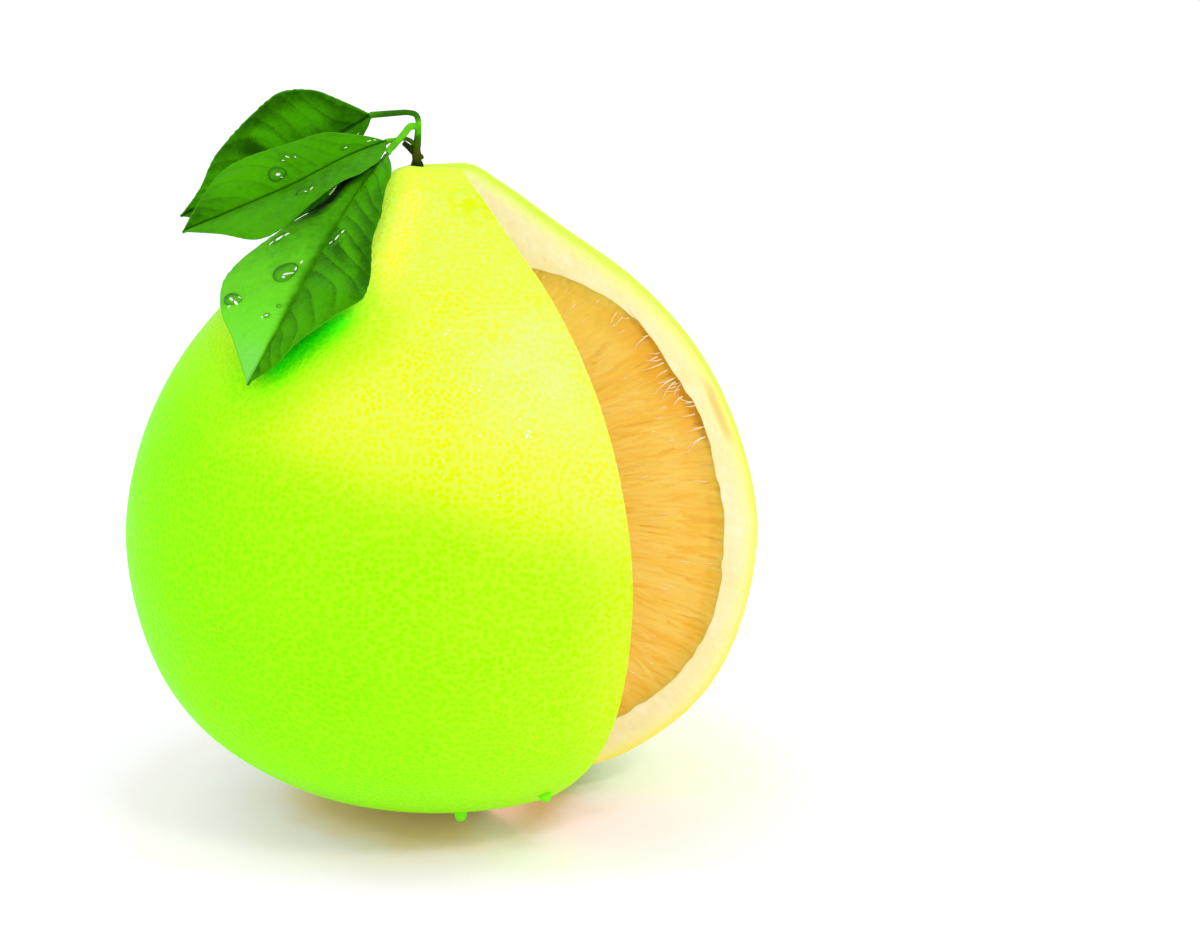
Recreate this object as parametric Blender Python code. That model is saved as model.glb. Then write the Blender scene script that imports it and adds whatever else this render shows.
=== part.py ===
# Pomelo with one eighth cut out of it, standing on its base, with a leafy twig on the crown
import math

import bmesh
import bpy
from mathutils import Vector
from mathutils.geometry import tessellate_polygon

MM = 0.001
CREASE_ANGLE = math.radians(50.0)

# Skin outline from the rim of the flat base up to the crown: radius, height
CROWN_DIP = 162.4
SKIN_OUTLINE = [(17.0, 0.0), (32.0, 6.4), (48.0, 13.3), (65.6, 28.0), (75.6, 46.0), (80.0, 72.0),
                (75.8, 95.0), (65.9, 116.0), (50.0, 134.4), (30.0, 149.4), (16.0, 159.6),
                (8.0, 164.0), (0.0, CROWN_DIP)]
SKIN_STEPS_PER_SPAN = 3
SKIN_STATIONS = 46
LOBES = ((0.0030, 2.0, 0.6), (0.0025, 5.0, 1.9))

# Low hump on the crown beside the twig
CREST_HEIGHT = 0.6
CREST_ANGLE = 0.45
CREST_SPREAD = 0.8
CREST_RADIUS = 5.0
CREST_WIDTH = 4.5
CREST_STARTS = 120.0

# Cut planes stand on the axis, as angles round it
FAR_CUT = math.radians(-8.7)
NEAR_CUT = math.radians(360.0 - 53.5)

# Flesh outline in the cut face, from the foot of the core round the wall to its top
CORE_RADIUS = 5.5
FLESH_OUTLINE = [(CORE_RADIUS, 15.0), (12.0, 12.5), (28.0, 15.2), (44.0, 21.5), (59.0, 33.0),
                 (67.0, 44.0), (71.2, 58.0), (72.0, 75.0), (70.0, 88.0), (66.5, 101.0),
                 (60.0, 112.5), (49.0, 127.0), (38.0, 134.2), (24.0, 138.8), (10.0, 140.0),
                 (CORE_RADIUS, 137.0)]
FLESH_STEPS_PER_SPAN = 2
FLESH_STATIONS = 24
PIECE_GAP = 0.3

# Juice sacs stand up from the flesh, a little behind each cut plane
SAC_COLUMNS = 76
SAC_ROWS = 14
SAC_PLANE_DEPTH = 1.3
SAC_BORDER = 0.5
SAC_HEIGHT = 0.9
SAC_GROOVE = 0.5
SAC_ROWS_LONG = 4.3
SAC_STAGGER = 0.16
CORE_FAN = 0.55

# Leaves: midrib and two margins, each from the stalk to the tip
LEAF_THICKNESS = 0.75
LEAF_STATIONS = 28
LEAF_LINES = 4
LEAF_STALK_HALF = 0.7
LEAF_TIP_HALF = 0.45
LEAF_BELLY = 0.10
VEIN_PAIRS = 6.0
VEIN_SLANT = 1.1
VEIN_RELIEF = 0.28
LEAVES = {
    "leaf_upper": (
        [(-17.2, 8.0, 176.2), (-26.3, 9.7, 171.1), (-38.8, 12.5, 164.7), (-53.4, 14.0, 157.4),
         (-68.0, 15.0, 150.3)],
        [(-17.2, 8.0, 176.2), (-24.8, 9.6, 179.6), (-32.6, 11.7, 182.2), (-41.6, 15.1, 181.3),
         (-50.1, 14.2, 174.4), (-58.6, 15.6, 165.3), (-62.7, 13.9, 157.0), (-68.0, 15.0, 150.3)],
        [(-17.2, 8.0, 176.2), (-18.0, 7.4, 173.6), (-21.2, 8.1, 168.1), (-25.8, 8.5, 158.7),
         (-32.1, 6.8, 151.6), (-43.6, 10.4, 148.1), (-56.0, 12.1, 148.9), (-68.0, 15.0, 150.3)]),
    "leaf_middle": (
        [(-12.4, -3.0, 170.2), (-21.5, -3.7, 166.7), (-35.4, -6.3, 159.7), (-49.1, -10.0, 153.9),
         (-61.3, -14.0, 149.0)],
        [(-12.4, -3.0, 170.2), (-18.6, -0.8, 171.4), (-28.7, 1.0, 171.9), (-37.1, 2.4, 169.3),
         (-44.8, -0.4, 167.0), (-52.4, 0.2, 163.6), (-57.5, -6.9, 157.0), (-61.3, -14.0, 149.0)],
        [(-12.4, -3.0, 170.2), (-12.9, -5.0, 168.8), (-13.6, -7.8, 167.3), (-14.3, -11.0, 165.8),
         (-15.4, -13.8, 164.5), (-16.9, -16.0, 163.5), (-18.6, -17.1, 162.7), (-20.3, -17.6, 162.1),
         (-22.6, -17.9, 161.0), (-25.6, -17.9, 158.9), (-29.0, -17.6, 156.3), (-35.0, -24.5, 151.0),
         (-41.0, -24.4, 148.2), (-51.0, -20.0, 149.0), (-61.3, -14.0, 149.0)]),
    "leaf_lower": (
        [(-12.5, -5.0, 167.3), (-17.9, -16.7, 159.3), (-25.7, -34.2, 144.9), (-31.9, -47.8, 132.1),
         (-39.1, -56.6, 118.9)],
        [(-12.5, -5.0, 167.3), (-13.4, -6.5, 166.1), (-15.3, -9.8, 164.5), (-17.9, -11.8, 163.1),
         (-20.2, -13.6, 162.1), (-21.8, -14.8, 161.3), (-22.7, -16.2, 160.5), (-23.4, -18.3, 159.3),
         (-24.7, -20.2, 157.7), (-26.6, -22.0, 156.2), (-29.5, -23.6, 154.3), (-32.8, -25.2, 152.2),
         (-44.2, -28.7, 144.0), (-47.9, -33.8, 139.3), (-46.8, -43.3, 133.3), (-43.4, -48.8, 127.7),
         (-39.1, -56.6, 118.9)],
        [(-12.5, -5.0, 167.3), (-11.1, -10.0, 166.3), (-10.0, -16.0, 164.4), (-10.1, -18.6, 162.2),
         (-10.9, -20.2, 160.3), (-11.3, -24.9, 156.8), (-11.3, -28.4, 154.3), (-12.1, -31.8, 151.8),
         (-12.7, -34.8, 149.6), (-12.3, -45.9, 141.2), (-13.5, -52.6, 137.4), (-17.2, -52.8, 135.2),
         (-27.7, -57.0, 128.3), (-32.6, -56.9, 123.2), (-39.1, -56.6, 118.9)]),
}

# Twig: centre lines with a radius at each point
TUBE_SIDES = 8
TUBE_STEPS_PER_SPAN = 2
TWIG_STEM = [(-5.4, 0.0, 164.3, 1.45), (-5.5, 0.0, 166.0, 1.15), (-5.3, 0.0, 168.8, 1.0),
             (-4.9, 0.0, 173.0, 0.8), (-4.9, 0.1, 175.2, 0.72), (-5.5, 0.6, 176.4, 0.70),
             (-7.3, 1.7, 176.9, 0.70), (-12.0, 5.0, 176.6, 0.74), (-16.1, 7.5, 176.3, 0.78)]
TWIG_LOWER_STALK = [(-4.9, 0.0, 172.9, 0.7), (-5.9, -0.6, 173.7, 0.8), (-7.0, -1.4, 173.4, 0.85),
                    (-8.1, -2.4, 172.0, 0.82), (-9.7, -3.6, 170.2, 0.8), (-10.9, -4.2, 168.9, 0.8),
                    (-11.6, -4.4, 168.2, 0.78)]
TWIG_MIDDLE_STALK = [(-5.5, 0.0, 168.4, 0.6), (-6.6, -0.3, 169.9, 0.58), (-7.9, -0.6, 170.6, 0.52),
                     (-9.4, -1.0, 170.5, 0.5), (-10.6, -1.9, 170.4, 0.55), (-11.7, -2.7, 170.4, 0.65)]
TWIG_STUB = [(-5.5, 0.0, 166.9, 0.9), (-7.2, 0.2, 168.4, 0.8), (-8.7, 0.5, 169.6, 0.62)]
TWIG_NUB = [(-5.3, 0.0, 165.6, 0.7), (-3.9, -0.3, 166.4, 0.55)]


def reset_scene():
    """Empty the scene of everything it starts with."""
    for item in list(bpy.data.objects):
        bpy.data.objects.remove(item, do_unlink=True)
    bpy.context.scene.unit_settings.system = "METRIC"
    bpy.context.scene.unit_settings.scale_length = 1.0


def material(name, color, roughness):
    """Plain Principled material."""
    mat = bpy.data.materials.new(name)
    mat.use_nodes = True
    shader = mat.node_tree.nodes["Principled BSDF"]
    shader.inputs["Base Color"].default_value = (*color, 1.0)
    shader.inputs["Roughness"].default_value = roughness
    mat.diffuse_color = (*color, 1.0)
    return mat


def smooth_curve(points, steps):
    """Centripetal curve through the points, with the given steps in every span."""
    knots = [Vector(point) for point in points]
    knots.insert(0, knots[0] * 2.0 - knots[1])
    knots.append(knots[-1] * 2.0 - knots[-2])
    curve = []
    for index in range(1, len(knots) - 2):
        p0, p1, p2, p3 = knots[index - 1:index + 3]
        t1 = math.sqrt((p1 - p0).length)
        t2 = t1 + math.sqrt((p2 - p1).length)
        t3 = t2 + math.sqrt((p3 - p2).length)
        for step in range(steps):
            t = t1 + (t2 - t1) * step / steps
            a1 = p0 * ((t1 - t) / t1) + p1 * (t / t1)
            a2 = p1 * ((t2 - t) / (t2 - t1)) + p2 * ((t - t1) / (t2 - t1))
            a3 = p2 * ((t3 - t) / (t3 - t2)) + p3 * ((t - t2) / (t3 - t2))
            b1 = a1 * ((t2 - t) / t2) + a2 * (t / t2)
            b2 = a2 * ((t3 - t) / (t3 - t1)) + a3 * ((t - t1) / (t3 - t1))
            curve.append(b1 * ((t2 - t) / (t2 - t1)) + b2 * ((t - t1) / (t2 - t1)))
    curve.append(knots[-2].copy())
    return curve


def even_points(curve, count):
    """The same curve as points spaced evenly along its length."""
    reach = [0.0]
    for start, end in zip(curve, curve[1:]):
        reach.append(reach[-1] + (end - start).length)
    points = []
    span = 0
    for index in range(count):
        target = reach[-1] * index / (count - 1)
        while span < len(curve) - 2 and reach[span + 1] < target:
            span += 1
        share = (target - reach[span]) / (reach[span + 1] - reach[span])
        points.append(curve[span].lerp(curve[span + 1], min(max(share, 0.0), 1.0)))
    return points


def inset_loop(loop, distance):
    """Closed outline moved inward by the distance, for an outline that runs anticlockwise."""
    moved = []
    for index, point in enumerate(loop):
        before = (point - loop[index - 1]).normalized()
        after = (loop[(index + 1) % len(loop)] - point).normalized()
        normal = Vector((-before.y - after.y, before.x + after.x)).normalized()
        stretch = max(normal.dot(Vector((-after.y, after.x))), 0.5)
        moved.append(point + normal * (distance / stretch))
    return moved


def finish(name, bm, mat):
    """Turn the mesh, made in millimetres, into a named object in metres."""
    bmesh.ops.recalc_face_normals(bm, faces=bm.faces)
    bmesh.ops.triangulate(bm, faces=bm.faces)
    bmesh.ops.scale(bm, vec=(MM, MM, MM), verts=bm.verts)
    mesh = bpy.data.meshes.new(name)
    bm.to_mesh(mesh)
    bm.free()
    mesh.materials.append(mat)
    obj = bpy.data.objects.new(name, mesh)
    bpy.context.collection.objects.link(obj)
    mesh.shade_smooth()
    mesh.set_sharp_from_angle(angle=CREASE_ANGLE)
    return obj


def turned(radius, angle, height):
    """Point at a radius and angle round the axis."""
    return (radius * math.cos(angle), radius * math.sin(angle), height)


def lobed(radius, angle):
    """Radius with the slight unevenness of a grown fruit."""
    return radius * (1.0 + sum(size * math.sin(count * angle + phase)
                               for size, count, phase in LOBES))


def crest(point, angle):
    """Rise of the hump beside the twig at a point of the skin's outline."""
    if point.y < CREST_STARTS:
        return 0.0
    turned_off = (angle - CREST_ANGLE) / CREST_SPREAD
    outward = (point.x - CREST_RADIUS) / CREST_WIDTH
    return CREST_HEIGHT * math.exp(-turned_off ** 2 - outward ** 2)


def join_rings(bm, rings, closed):
    """Faces between neighbouring rows of vertices."""
    for ring, following in zip(rings, rings[1:]):
        count = len(ring) if closed else len(ring) - 1
        for index in range(count):
            nearby = (index + 1) % len(ring)
            bm.faces.new((ring[index], ring[nearby], following[nearby], following[index]))


def fill_between(bm, outline, hole, flatten):
    """Flat face between an outline and a hole in it."""
    corners = outline + hole
    flat = [[flatten(vert) for vert in outline], [flatten(vert) for vert in hole]]
    for triangle in tessellate_polygon(flat):
        bm.faces.new([corners[index] for index in triangle])


def make_rind(mat):
    """Skin, pith and core: one solid turned round the axis, hollow where the flesh lies."""
    bm = bmesh.new()
    foot = bm.verts.new((0.0, 0.0, 0.0))
    crown = bm.verts.new((0.0, 0.0, CROWN_DIP))
    profile = smooth_curve(SKIN_OUTLINE, SKIN_STEPS_PER_SPAN)[:-1]
    skin = []
    for station in range(SKIN_STATIONS + 1):
        angle = FAR_CUT + (NEAR_CUT - FAR_CUT) * station / SKIN_STATIONS
        skin.append([bm.verts.new(turned(lobed(point.x, angle), angle,
                                         max(point.y, 0.0) + crest(point, angle)))
                     for point in profile])
    join_rings(bm, skin, closed=False)
    for ring, following in zip(skin, skin[1:]):
        bm.faces.new((foot, ring[0], following[0]))
        bm.faces.new((crown, following[-1], ring[-1]))
    cavity = []
    loop = smooth_curve(FLESH_OUTLINE, FLESH_STEPS_PER_SPAN)
    for station in range(FLESH_STATIONS + 1):
        angle = FAR_CUT + (NEAR_CUT - FAR_CUT) * station / FLESH_STATIONS
        cavity.append([bm.verts.new(turned(point.x, angle, point.y)) for point in loop])
    join_rings(bm, cavity, closed=True)
    for ring, hole in ((skin[0], cavity[0]), (skin[-1], cavity[-1])):
        fill_between(bm, [foot] + ring + [crown], hole,
                     lambda vert: Vector((math.hypot(vert.co.x, vert.co.y), vert.co.z, 0.0)))
    return finish("rind", bm, mat)


def sac_height(column, row):
    """Height of the juice sacs over the flesh: long beads, each between the ends of two others."""
    if row in (0, SAC_ROWS) or column in (0, SAC_COLUMNS):
        return 0.0
    wander = SAC_STAGGER * math.sin(1.7 * column)
    bead = (row / SAC_ROWS_LONG + 0.5 * (column % 2) + wander) % 1.0
    return (SAC_HEIGHT + SAC_GROOVE) * math.sin(math.pi * bead ** 0.75) - SAC_GROOVE


def make_flesh(mat):
    """Flesh: fills the hollow in the rind, with juice sacs on both cut faces."""
    bm = bmesh.new()
    loop = inset_loop(smooth_curve(FLESH_OUTLINE, FLESH_STEPS_PER_SPAN), PIECE_GAP)
    rings = []
    for station in range(FLESH_STATIONS + 1):
        ring = []
        for point in loop:
            angle = FAR_CUT + (NEAR_CUT - FAR_CUT) * station / FLESH_STATIONS
            if station == 0:
                angle += math.asin(SAC_PLANE_DEPTH / point.x)
            if station == FLESH_STATIONS:
                angle -= math.asin(SAC_PLANE_DEPTH / point.x)
            ring.append(bm.verts.new(turned(point.x, angle, point.y)))
        rings.append(ring)
    join_rings(bm, rings, closed=True)
    border = inset_loop(loop, SAC_BORDER)
    wall = even_points(border, SAC_COLUMNS + 1)
    foot = wall[0]
    head = wall[-1]
    for ring, cut, side in ((rings[0], FAR_CUT, 1.0), (rings[-1], NEAR_CUT, -1.0)):
        along = Vector((math.cos(cut), math.sin(cut), 0.0))
        inward = Vector((-math.sin(cut), math.cos(cut), 0.0)) * side
        grid = []
        for column in range(SAC_COLUMNS + 1):
            share = column / SAC_COLUMNS
            fanned = share + CORE_FAN * math.sin(math.tau * share) / math.tau
            inner = foot.lerp(head, fanned)
            line = []
            for row in range(SAC_ROWS + 1):
                if column in (0, SAC_COLUMNS) and row > 0:
                    break
                flat = wall[column].lerp(inner, row / SAC_ROWS)
                depth = SAC_PLANE_DEPTH - sac_height(column, row)
                place = along * flat.x + inward * depth
                line.append(bm.verts.new((place.x, place.y, flat.y)))
            grid.append(line)
        for line, following in zip(grid, grid[1:]):
            for row in range(SAC_ROWS):
                corners = []
                for vert in (line[min(row, len(line) - 1)], line[min(row + 1, len(line) - 1)],
                             following[min(row + 1, len(following) - 1)],
                             following[min(row, len(following) - 1)]):
                    if vert not in corners:
                        corners.append(vert)
                bm.faces.new(corners)
        rim = [line[0] for line in grid] + [line[-1] for line in grid[-2:0:-1]]
        fill_between(bm, ring, rim, lambda vert: Vector((vert.co.dot(along), vert.co.z, 0.0)))
    return finish("flesh", bm, mat)


def leaf_margin(midrib, margin):
    """Margin points level with the midrib, kept clear of it at the stalk and the tip."""
    last = len(midrib) - 1
    edge = []
    for index, centre in enumerate(midrib):
        nearby = min(max(index, 1), last - 1)
        outward = margin[nearby] - midrib[nearby]
        narrowest = LEAF_STALK_HALF + (LEAF_TIP_HALF - LEAF_STALK_HALF) * index / last
        width = max((margin[index] - centre).length, narrowest)
        if index in (0, last):
            edge.append(centre + outward.normalized() * width)
        else:
            edge.append(centre + (margin[index] - centre).normalized() * width)
    return edge


def make_leaf(name, outlines, mat):
    """Thin blade between two margins, folded along the midrib and quilted by its veins."""
    midrib, first, second = (even_points(smooth_curve(line, 8), LEAF_STATIONS)
                             for line in outlines)
    edges = (leaf_margin(midrib, first), leaf_margin(midrib, second))
    sheet = []
    for index, centre in enumerate(midrib):
        share = index / (LEAF_STATIONS - 1)
        forward = midrib[min(index + 1, LEAF_STATIONS - 1)] - midrib[max(index - 1, 0)]
        facing = forward.cross(edges[1][index] - edges[0][index]).normalized()
        row = []
        for line in range(-LEAF_LINES, LEAF_LINES + 1):
            spread = abs(line) / LEAF_LINES
            edge = edges[0][index] if line < 0 else edges[1][index]
            swell = 4.0 * spread * (1.0 - spread)
            wave = math.sin(math.tau * (VEIN_PAIRS * share - VEIN_SLANT * spread))
            rise = LEAF_BELLY * (edge - centre).length * swell * 0.5
            rise += VEIN_RELIEF * wave * swell
            row.append(centre.lerp(edge, spread) + facing * rise)
        sheet.append(row)
    bm = bmesh.new()
    front = []
    back = []
    for index, row in enumerate(sheet):
        ahead = sheet[min(index + 1, LEAF_STATIONS - 1)]
        behind = sheet[max(index - 1, 0)]
        front_row = []
        back_row = []
        for line, point in enumerate(row):
            along = ahead[line] - behind[line]
            across = row[min(line + 1, len(row) - 1)] - row[max(line - 1, 0)]
            offset = along.cross(across).normalized() * (LEAF_THICKNESS / 2.0)
            front_row.append(bm.verts.new(point + offset))
            back_row.append(bm.verts.new(point - offset))
        front.append(front_row)
        back.append(back_row)
    for face in (front, back):
        for row, following in zip(face, face[1:]):
            for line in range(len(row) - 1):
                a, b, c, d = row[line], row[line + 1], following[line + 1], following[line]
                bm.faces.new((a, b, c))
                bm.faces.new((a, c, d))
    rims = []
    for face in (front, back):
        left = [row[0] for row in face]
        right = [row[-1] for row in face]
        rims.append(left + face[-1][1:-1] + right[::-1] + face[0][-2:0:-1])
    join_rings(bm, rims, closed=True)
    return finish(name, bm, mat)


def tube(points, name):
    """Closed round tube that follows a centre line with a radius at each point."""
    line = smooth_curve(points, TUBE_STEPS_PER_SPAN)
    bm = bmesh.new()
    rings = []
    aside = Vector((0.0, 1.0, 0.0))
    for index, point in enumerate(line):
        centre = point.to_3d()
        after = line[min(index + 1, len(line) - 1)].to_3d()
        before = line[max(index - 1, 0)].to_3d()
        forward = (after - before).normalized()
        aside = (aside - forward * aside.dot(forward)).normalized()
        upward = forward.cross(aside)
        ring = []
        for side in range(TUBE_SIDES):
            turn = math.tau * side / TUBE_SIDES
            spoke = aside * math.cos(turn) + upward * math.sin(turn)
            ring.append(bm.verts.new(centre + spoke * point.w))
        rings.append(ring)
    join_rings(bm, rings, closed=True)
    bm.faces.new(rings[0])
    bm.faces.new(rings[-1])
    return finish(name, bm, bpy.data.materials["twig"])


def make_twig():
    """Stem with three leaf stalks, a cut stub and a nub, all grown together."""
    twig = tube(TWIG_STEM, "twig")
    for number, branch in enumerate((TWIG_MIDDLE_STALK, TWIG_LOWER_STALK, TWIG_STUB, TWIG_NUB)):
        part = tube(branch, f"branch_{number}")
        union = twig.modifiers.new(part.name, "BOOLEAN")
        union.operation = "UNION"
        union.solver = "EXACT"
        union.object = part
        part.hide_render = True
        part.display_type = "WIRE"
    return twig


def main():
    """Build every piece of the fruit."""
    reset_scene()
    make_rind(material("rind", (0.80, 0.86, 0.10), 0.4))
    make_flesh(material("flesh", (0.90, 0.52, 0.12), 0.3))
    material("twig", (0.22, 0.34, 0.06), 0.6)
    make_twig()
    leaf_mat = material("leaf", (0.10, 0.36, 0.03), 0.35)
    for name, outlines in LEAVES.items():
        make_leaf(name, outlines, leaf_mat)


main()
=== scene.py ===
# Looks of a pomelo with one eighth cut out of it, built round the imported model
import math

import bpy
import numpy as np
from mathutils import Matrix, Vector
from mathutils.bvhtree import BVHTree


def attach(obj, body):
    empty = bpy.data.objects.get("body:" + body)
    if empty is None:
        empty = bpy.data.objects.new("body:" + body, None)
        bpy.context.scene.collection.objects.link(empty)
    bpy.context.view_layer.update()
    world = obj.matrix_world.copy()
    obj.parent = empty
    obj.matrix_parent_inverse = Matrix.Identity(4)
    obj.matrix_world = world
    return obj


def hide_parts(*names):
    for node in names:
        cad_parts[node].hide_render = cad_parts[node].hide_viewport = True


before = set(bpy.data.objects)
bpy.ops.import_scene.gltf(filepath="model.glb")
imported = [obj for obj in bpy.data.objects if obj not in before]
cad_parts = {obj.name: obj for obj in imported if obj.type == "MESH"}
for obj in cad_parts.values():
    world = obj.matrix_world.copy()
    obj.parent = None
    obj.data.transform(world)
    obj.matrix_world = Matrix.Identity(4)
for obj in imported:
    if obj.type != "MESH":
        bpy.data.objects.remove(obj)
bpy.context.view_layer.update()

MM = 0.001

# Camera, in millimetres and degrees
IMAGE_WIDTH = 1200
IMAGE_HEIGHT = 936
CAMERA_PLACE = (39.98, -479.2, 192.6)
CAMERA_DOWN = 12.4
CAMERA_FOCAL_PIXELS = 1912.0
SENSOR_WIDTH = 36.0

# Skin outline from the rim of the flat base up to the crown: radius, height
CROWN_DIP = 162.4
SKIN_OUTLINE = [(17, 0), (32, 6.4), (48, 13.3), (65.6, 28), (75.6, 46), (80, 72),
                (75.8, 95), (65.9, 116), (50, 134.4), (30, 149.4), (16, 159.6),
                (8, 164), (0, CROWN_DIP)]
LOBES = ((0.0030, 2.0, 0.6), (0.0025, 5.0, 1.9))
FAR_CUT = math.radians(-8.7)
NEAR_CUT = math.radians(360.0 - 53.5)

# Flesh outline in the cut face, from the foot of the core round the wall to its top
CORE_RADIUS = 5.5
FLESH_OUTLINE = [(CORE_RADIUS, 15), (12, 12.5), (28, 15.2), (44, 21.5), (59, 33),
                 (67, 44), (71.2, 58), (72, 75), (70, 88), (66.5, 101),
                 (60, 112.5), (49, 127), (38, 134.2), (24, 138.8), (10, 140),
                 (CORE_RADIUS, 137)]

# Leaves: midrib and two margins, each from the stalk to the tip
LEAVES = {
    "leaf_upper": (
        [(-17.2, 8, 176.2), (-26.3, 9.7, 171.1), (-38.8, 12.5, 164.7), (-53.4, 14, 157.4),
         (-68, 15, 150.3)],
        [(-17.2, 8, 176.2), (-24.8, 9.6, 179.6), (-32.6, 11.7, 182.2), (-41.6, 15.1, 181.3),
         (-50.1, 14.2, 174.4), (-58.6, 15.6, 165.3), (-62.7, 13.9, 157), (-68, 15, 150.3)],
        [(-17.2, 8, 176.2), (-18, 7.4, 173.6), (-21.2, 8.1, 168.1), (-25.8, 8.5, 158.7),
         (-32.1, 6.8, 151.6), (-43.6, 10.4, 148.1), (-56, 12.1, 148.9), (-68, 15, 150.3)]),
    "leaf_middle": (
        [(-12.4, -3, 170.2), (-21.5, -3.7, 166.7), (-35.4, -6.3, 159.7), (-49.1, -10, 153.9),
         (-61.3, -14, 149)],
        [(-12.4, -3, 170.2), (-18.6, -0.8, 171.4), (-28.7, 1, 171.9), (-37.1, 2.4, 169.3),
         (-44.8, -0.4, 167), (-52.4, 0.2, 163.6), (-57.5, -6.9, 157), (-61.3, -14, 149)],
        [(-12.4, -3, 170.2), (-12.4, -5.8, 168.5), (-12.9, -8.6, 167.1), (-13.7, -11.4, 165.7),
         (-15.4, -13.8, 164.5), (-16.9, -16, 163.5), (-18.6, -17.1, 162.7), (-20.3, -17.6, 162.1),
         (-22.6, -17.9, 161), (-25.6, -17.9, 158.9), (-29, -17.6, 156.3), (-35, -24.5, 151),
         (-41, -24.4, 148.2), (-51, -20, 149), (-61.3, -14, 149)]),
    "leaf_lower": (
        [(-12.5, -5, 167.3), (-17.9, -16.7, 159.3), (-25.7, -34.2, 144.9), (-31.9, -47.8, 132.1),
         (-39.1, -56.6, 118.9)],
        [(-12.5, -5, 167.3), (-13.4, -6.5, 166.1), (-15.3, -9.8, 164.5), (-17.9, -11.8, 163.1),
         (-20.2, -13.6, 162.1), (-21.8, -14.8, 161.3), (-22.7, -16.2, 160.5), (-23.4, -18.3, 159.3),
         (-24.7, -20.2, 157.7), (-26.6, -22, 156.2), (-29.5, -23.6, 154.3), (-32.8, -25.2, 152.2),
         (-44.2, -28.7, 144), (-47.9, -33.8, 139.3), (-46.8, -43.3, 133.3), (-43.4, -48.8, 127.7),
         (-39.1, -56.6, 118.9)],
        [(-12.5, -5, 167.3), (-11.1, -10, 166.3), (-10, -16, 164.4), (-10.1, -18.6, 162.2),
         (-10.9, -20.2, 160.3), (-11.3, -24.9, 156.8), (-11.3, -28.4, 154.3), (-12.1, -31.8, 151.8),
         (-12.7, -34.8, 149.6), (-12.3, -45.9, 141.2), (-13.5, -52.6, 137.4), (-17.2, -52.8, 135.2),
         (-27.7, -57, 128.3), (-32.6, -56.9, 123.2), (-39.1, -56.6, 118.9)]),
}

# Twig: centre lines with a radius at each point
TWIG_LINES = (
    [(-5.4, 0, 162.6, 1.75), (-5.4, 0, 164.4, 1.45), (-5.5, 0, 166, 1.15),
     (-5.3, 0, 168.8, 1), (-4.9, 0, 173, 0.8), (-4.9, 0.1, 175.2, 0.74),
     (-5.5, 0.6, 176.4, 0.72), (-7.3, 1.7, 176.9, 0.70), (-12, 5, 176.6, 0.76),
     (-17.4, 8.1, 176.1, 0.82)],
    [(-4.9, 0, 172.9, 0.7), (-5.9, -0.6, 173.7, 0.84), (-7, -1.4, 173.4, 0.88),
     (-8.1, -2.4, 172, 0.84), (-9.7, -3.6, 170.2, 0.82), (-11.1, -4.3, 168.7, 0.86),
     (-12.2, -4.7, 167.5, 0.95)],
    [(-5.5, 0, 168.4, 0.6), (-6.6, -0.3, 169.9, 0.58), (-7.9, -0.6, 170.6, 0.52),
     (-9.4, -1, 170.5, 0.5), (-10.6, -1.9, 170.4, 0.55), (-12.6, -3, 170.1, 0.65)],
    [(-5.5, 0, 166.9, 0.9), (-7.2, 0.2, 168.4, 0.8), (-8.7, 0.5, 169.6, 0.62)],
    [(-5.3, 0, 165.6, 0.7), (-3.9, -0.3, 166.4, 0.55)],
)

# Greenness at shares of each line: 0 is dark bark, 0.35 brown, 0.6 dark green, 1 bright
TWIG_GREENS = (
    ((0.0, 0.12, 0.20, 0.36, 0.42, 0.52, 0.58, 0.90, 1.0), (0.0, 0.0, 0.2, 0.4, 0.85, 1.0, 0.6, 0.55, 0.8)),
    ((0.0, 0.3, 0.8, 1.0), (0.9, 1.0, 0.9, 1.0)),
    ((0.0, 0.15, 0.5, 0.75, 1.0), (0.2, 0.4, 0.5, 0.9, 1.0)),
    ((0.0, 1.0), (0.0, 0.1)),
    ((0.0, 1.0), (0.1, 0.3)),
)


# ---- shapes ----

def smooth_curve(points, steps):
    """Centripetal curve through the points, with the given steps in every span."""
    knots = np.asarray(points, float)
    knots = np.vstack([2 * knots[0] - knots[1], knots, 2 * knots[-1] - knots[-2]])
    curve = []
    for p0, p1, p2, p3 in zip(knots, knots[1:], knots[2:], knots[3:]):
        t1 = math.sqrt(np.linalg.norm(p1 - p0))
        t2 = t1 + math.sqrt(np.linalg.norm(p2 - p1))
        t3 = t2 + math.sqrt(np.linalg.norm(p3 - p2))
        t = (t1 + (t2 - t1) * np.arange(steps) / steps)[:, None]
        a1 = p0 * (t1 - t) / t1 + p1 * t / t1
        a2 = p1 * (t2 - t) / (t2 - t1) + p2 * (t - t1) / (t2 - t1)
        a3 = p2 * (t3 - t) / (t3 - t2) + p3 * (t - t2) / (t3 - t2)
        b1 = a1 * (t2 - t) / t2 + a2 * t / t2
        b2 = a2 * (t3 - t) / (t3 - t1) + a3 * (t - t1) / (t3 - t1)
        curve.append(b1 * (t2 - t) / (t2 - t1) + b2 * (t - t1) / (t2 - t1))
    curve.append(knots[-2][None])
    return np.concatenate(curve)


def even_points(curve, count):
    """The same curve as points spaced evenly along its length."""
    reach = np.r_[0.0, np.cumsum(np.linalg.norm(np.diff(curve, axis=0), axis=1))]
    target = np.linspace(0.0, reach[-1], count)
    return np.stack([np.interp(target, reach, column) for column in curve.T], 1)


def unit(vectors):
    """Vectors of length one."""
    return vectors / np.maximum(np.linalg.norm(vectors, axis=-1, keepdims=True), 1e-12)


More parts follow.
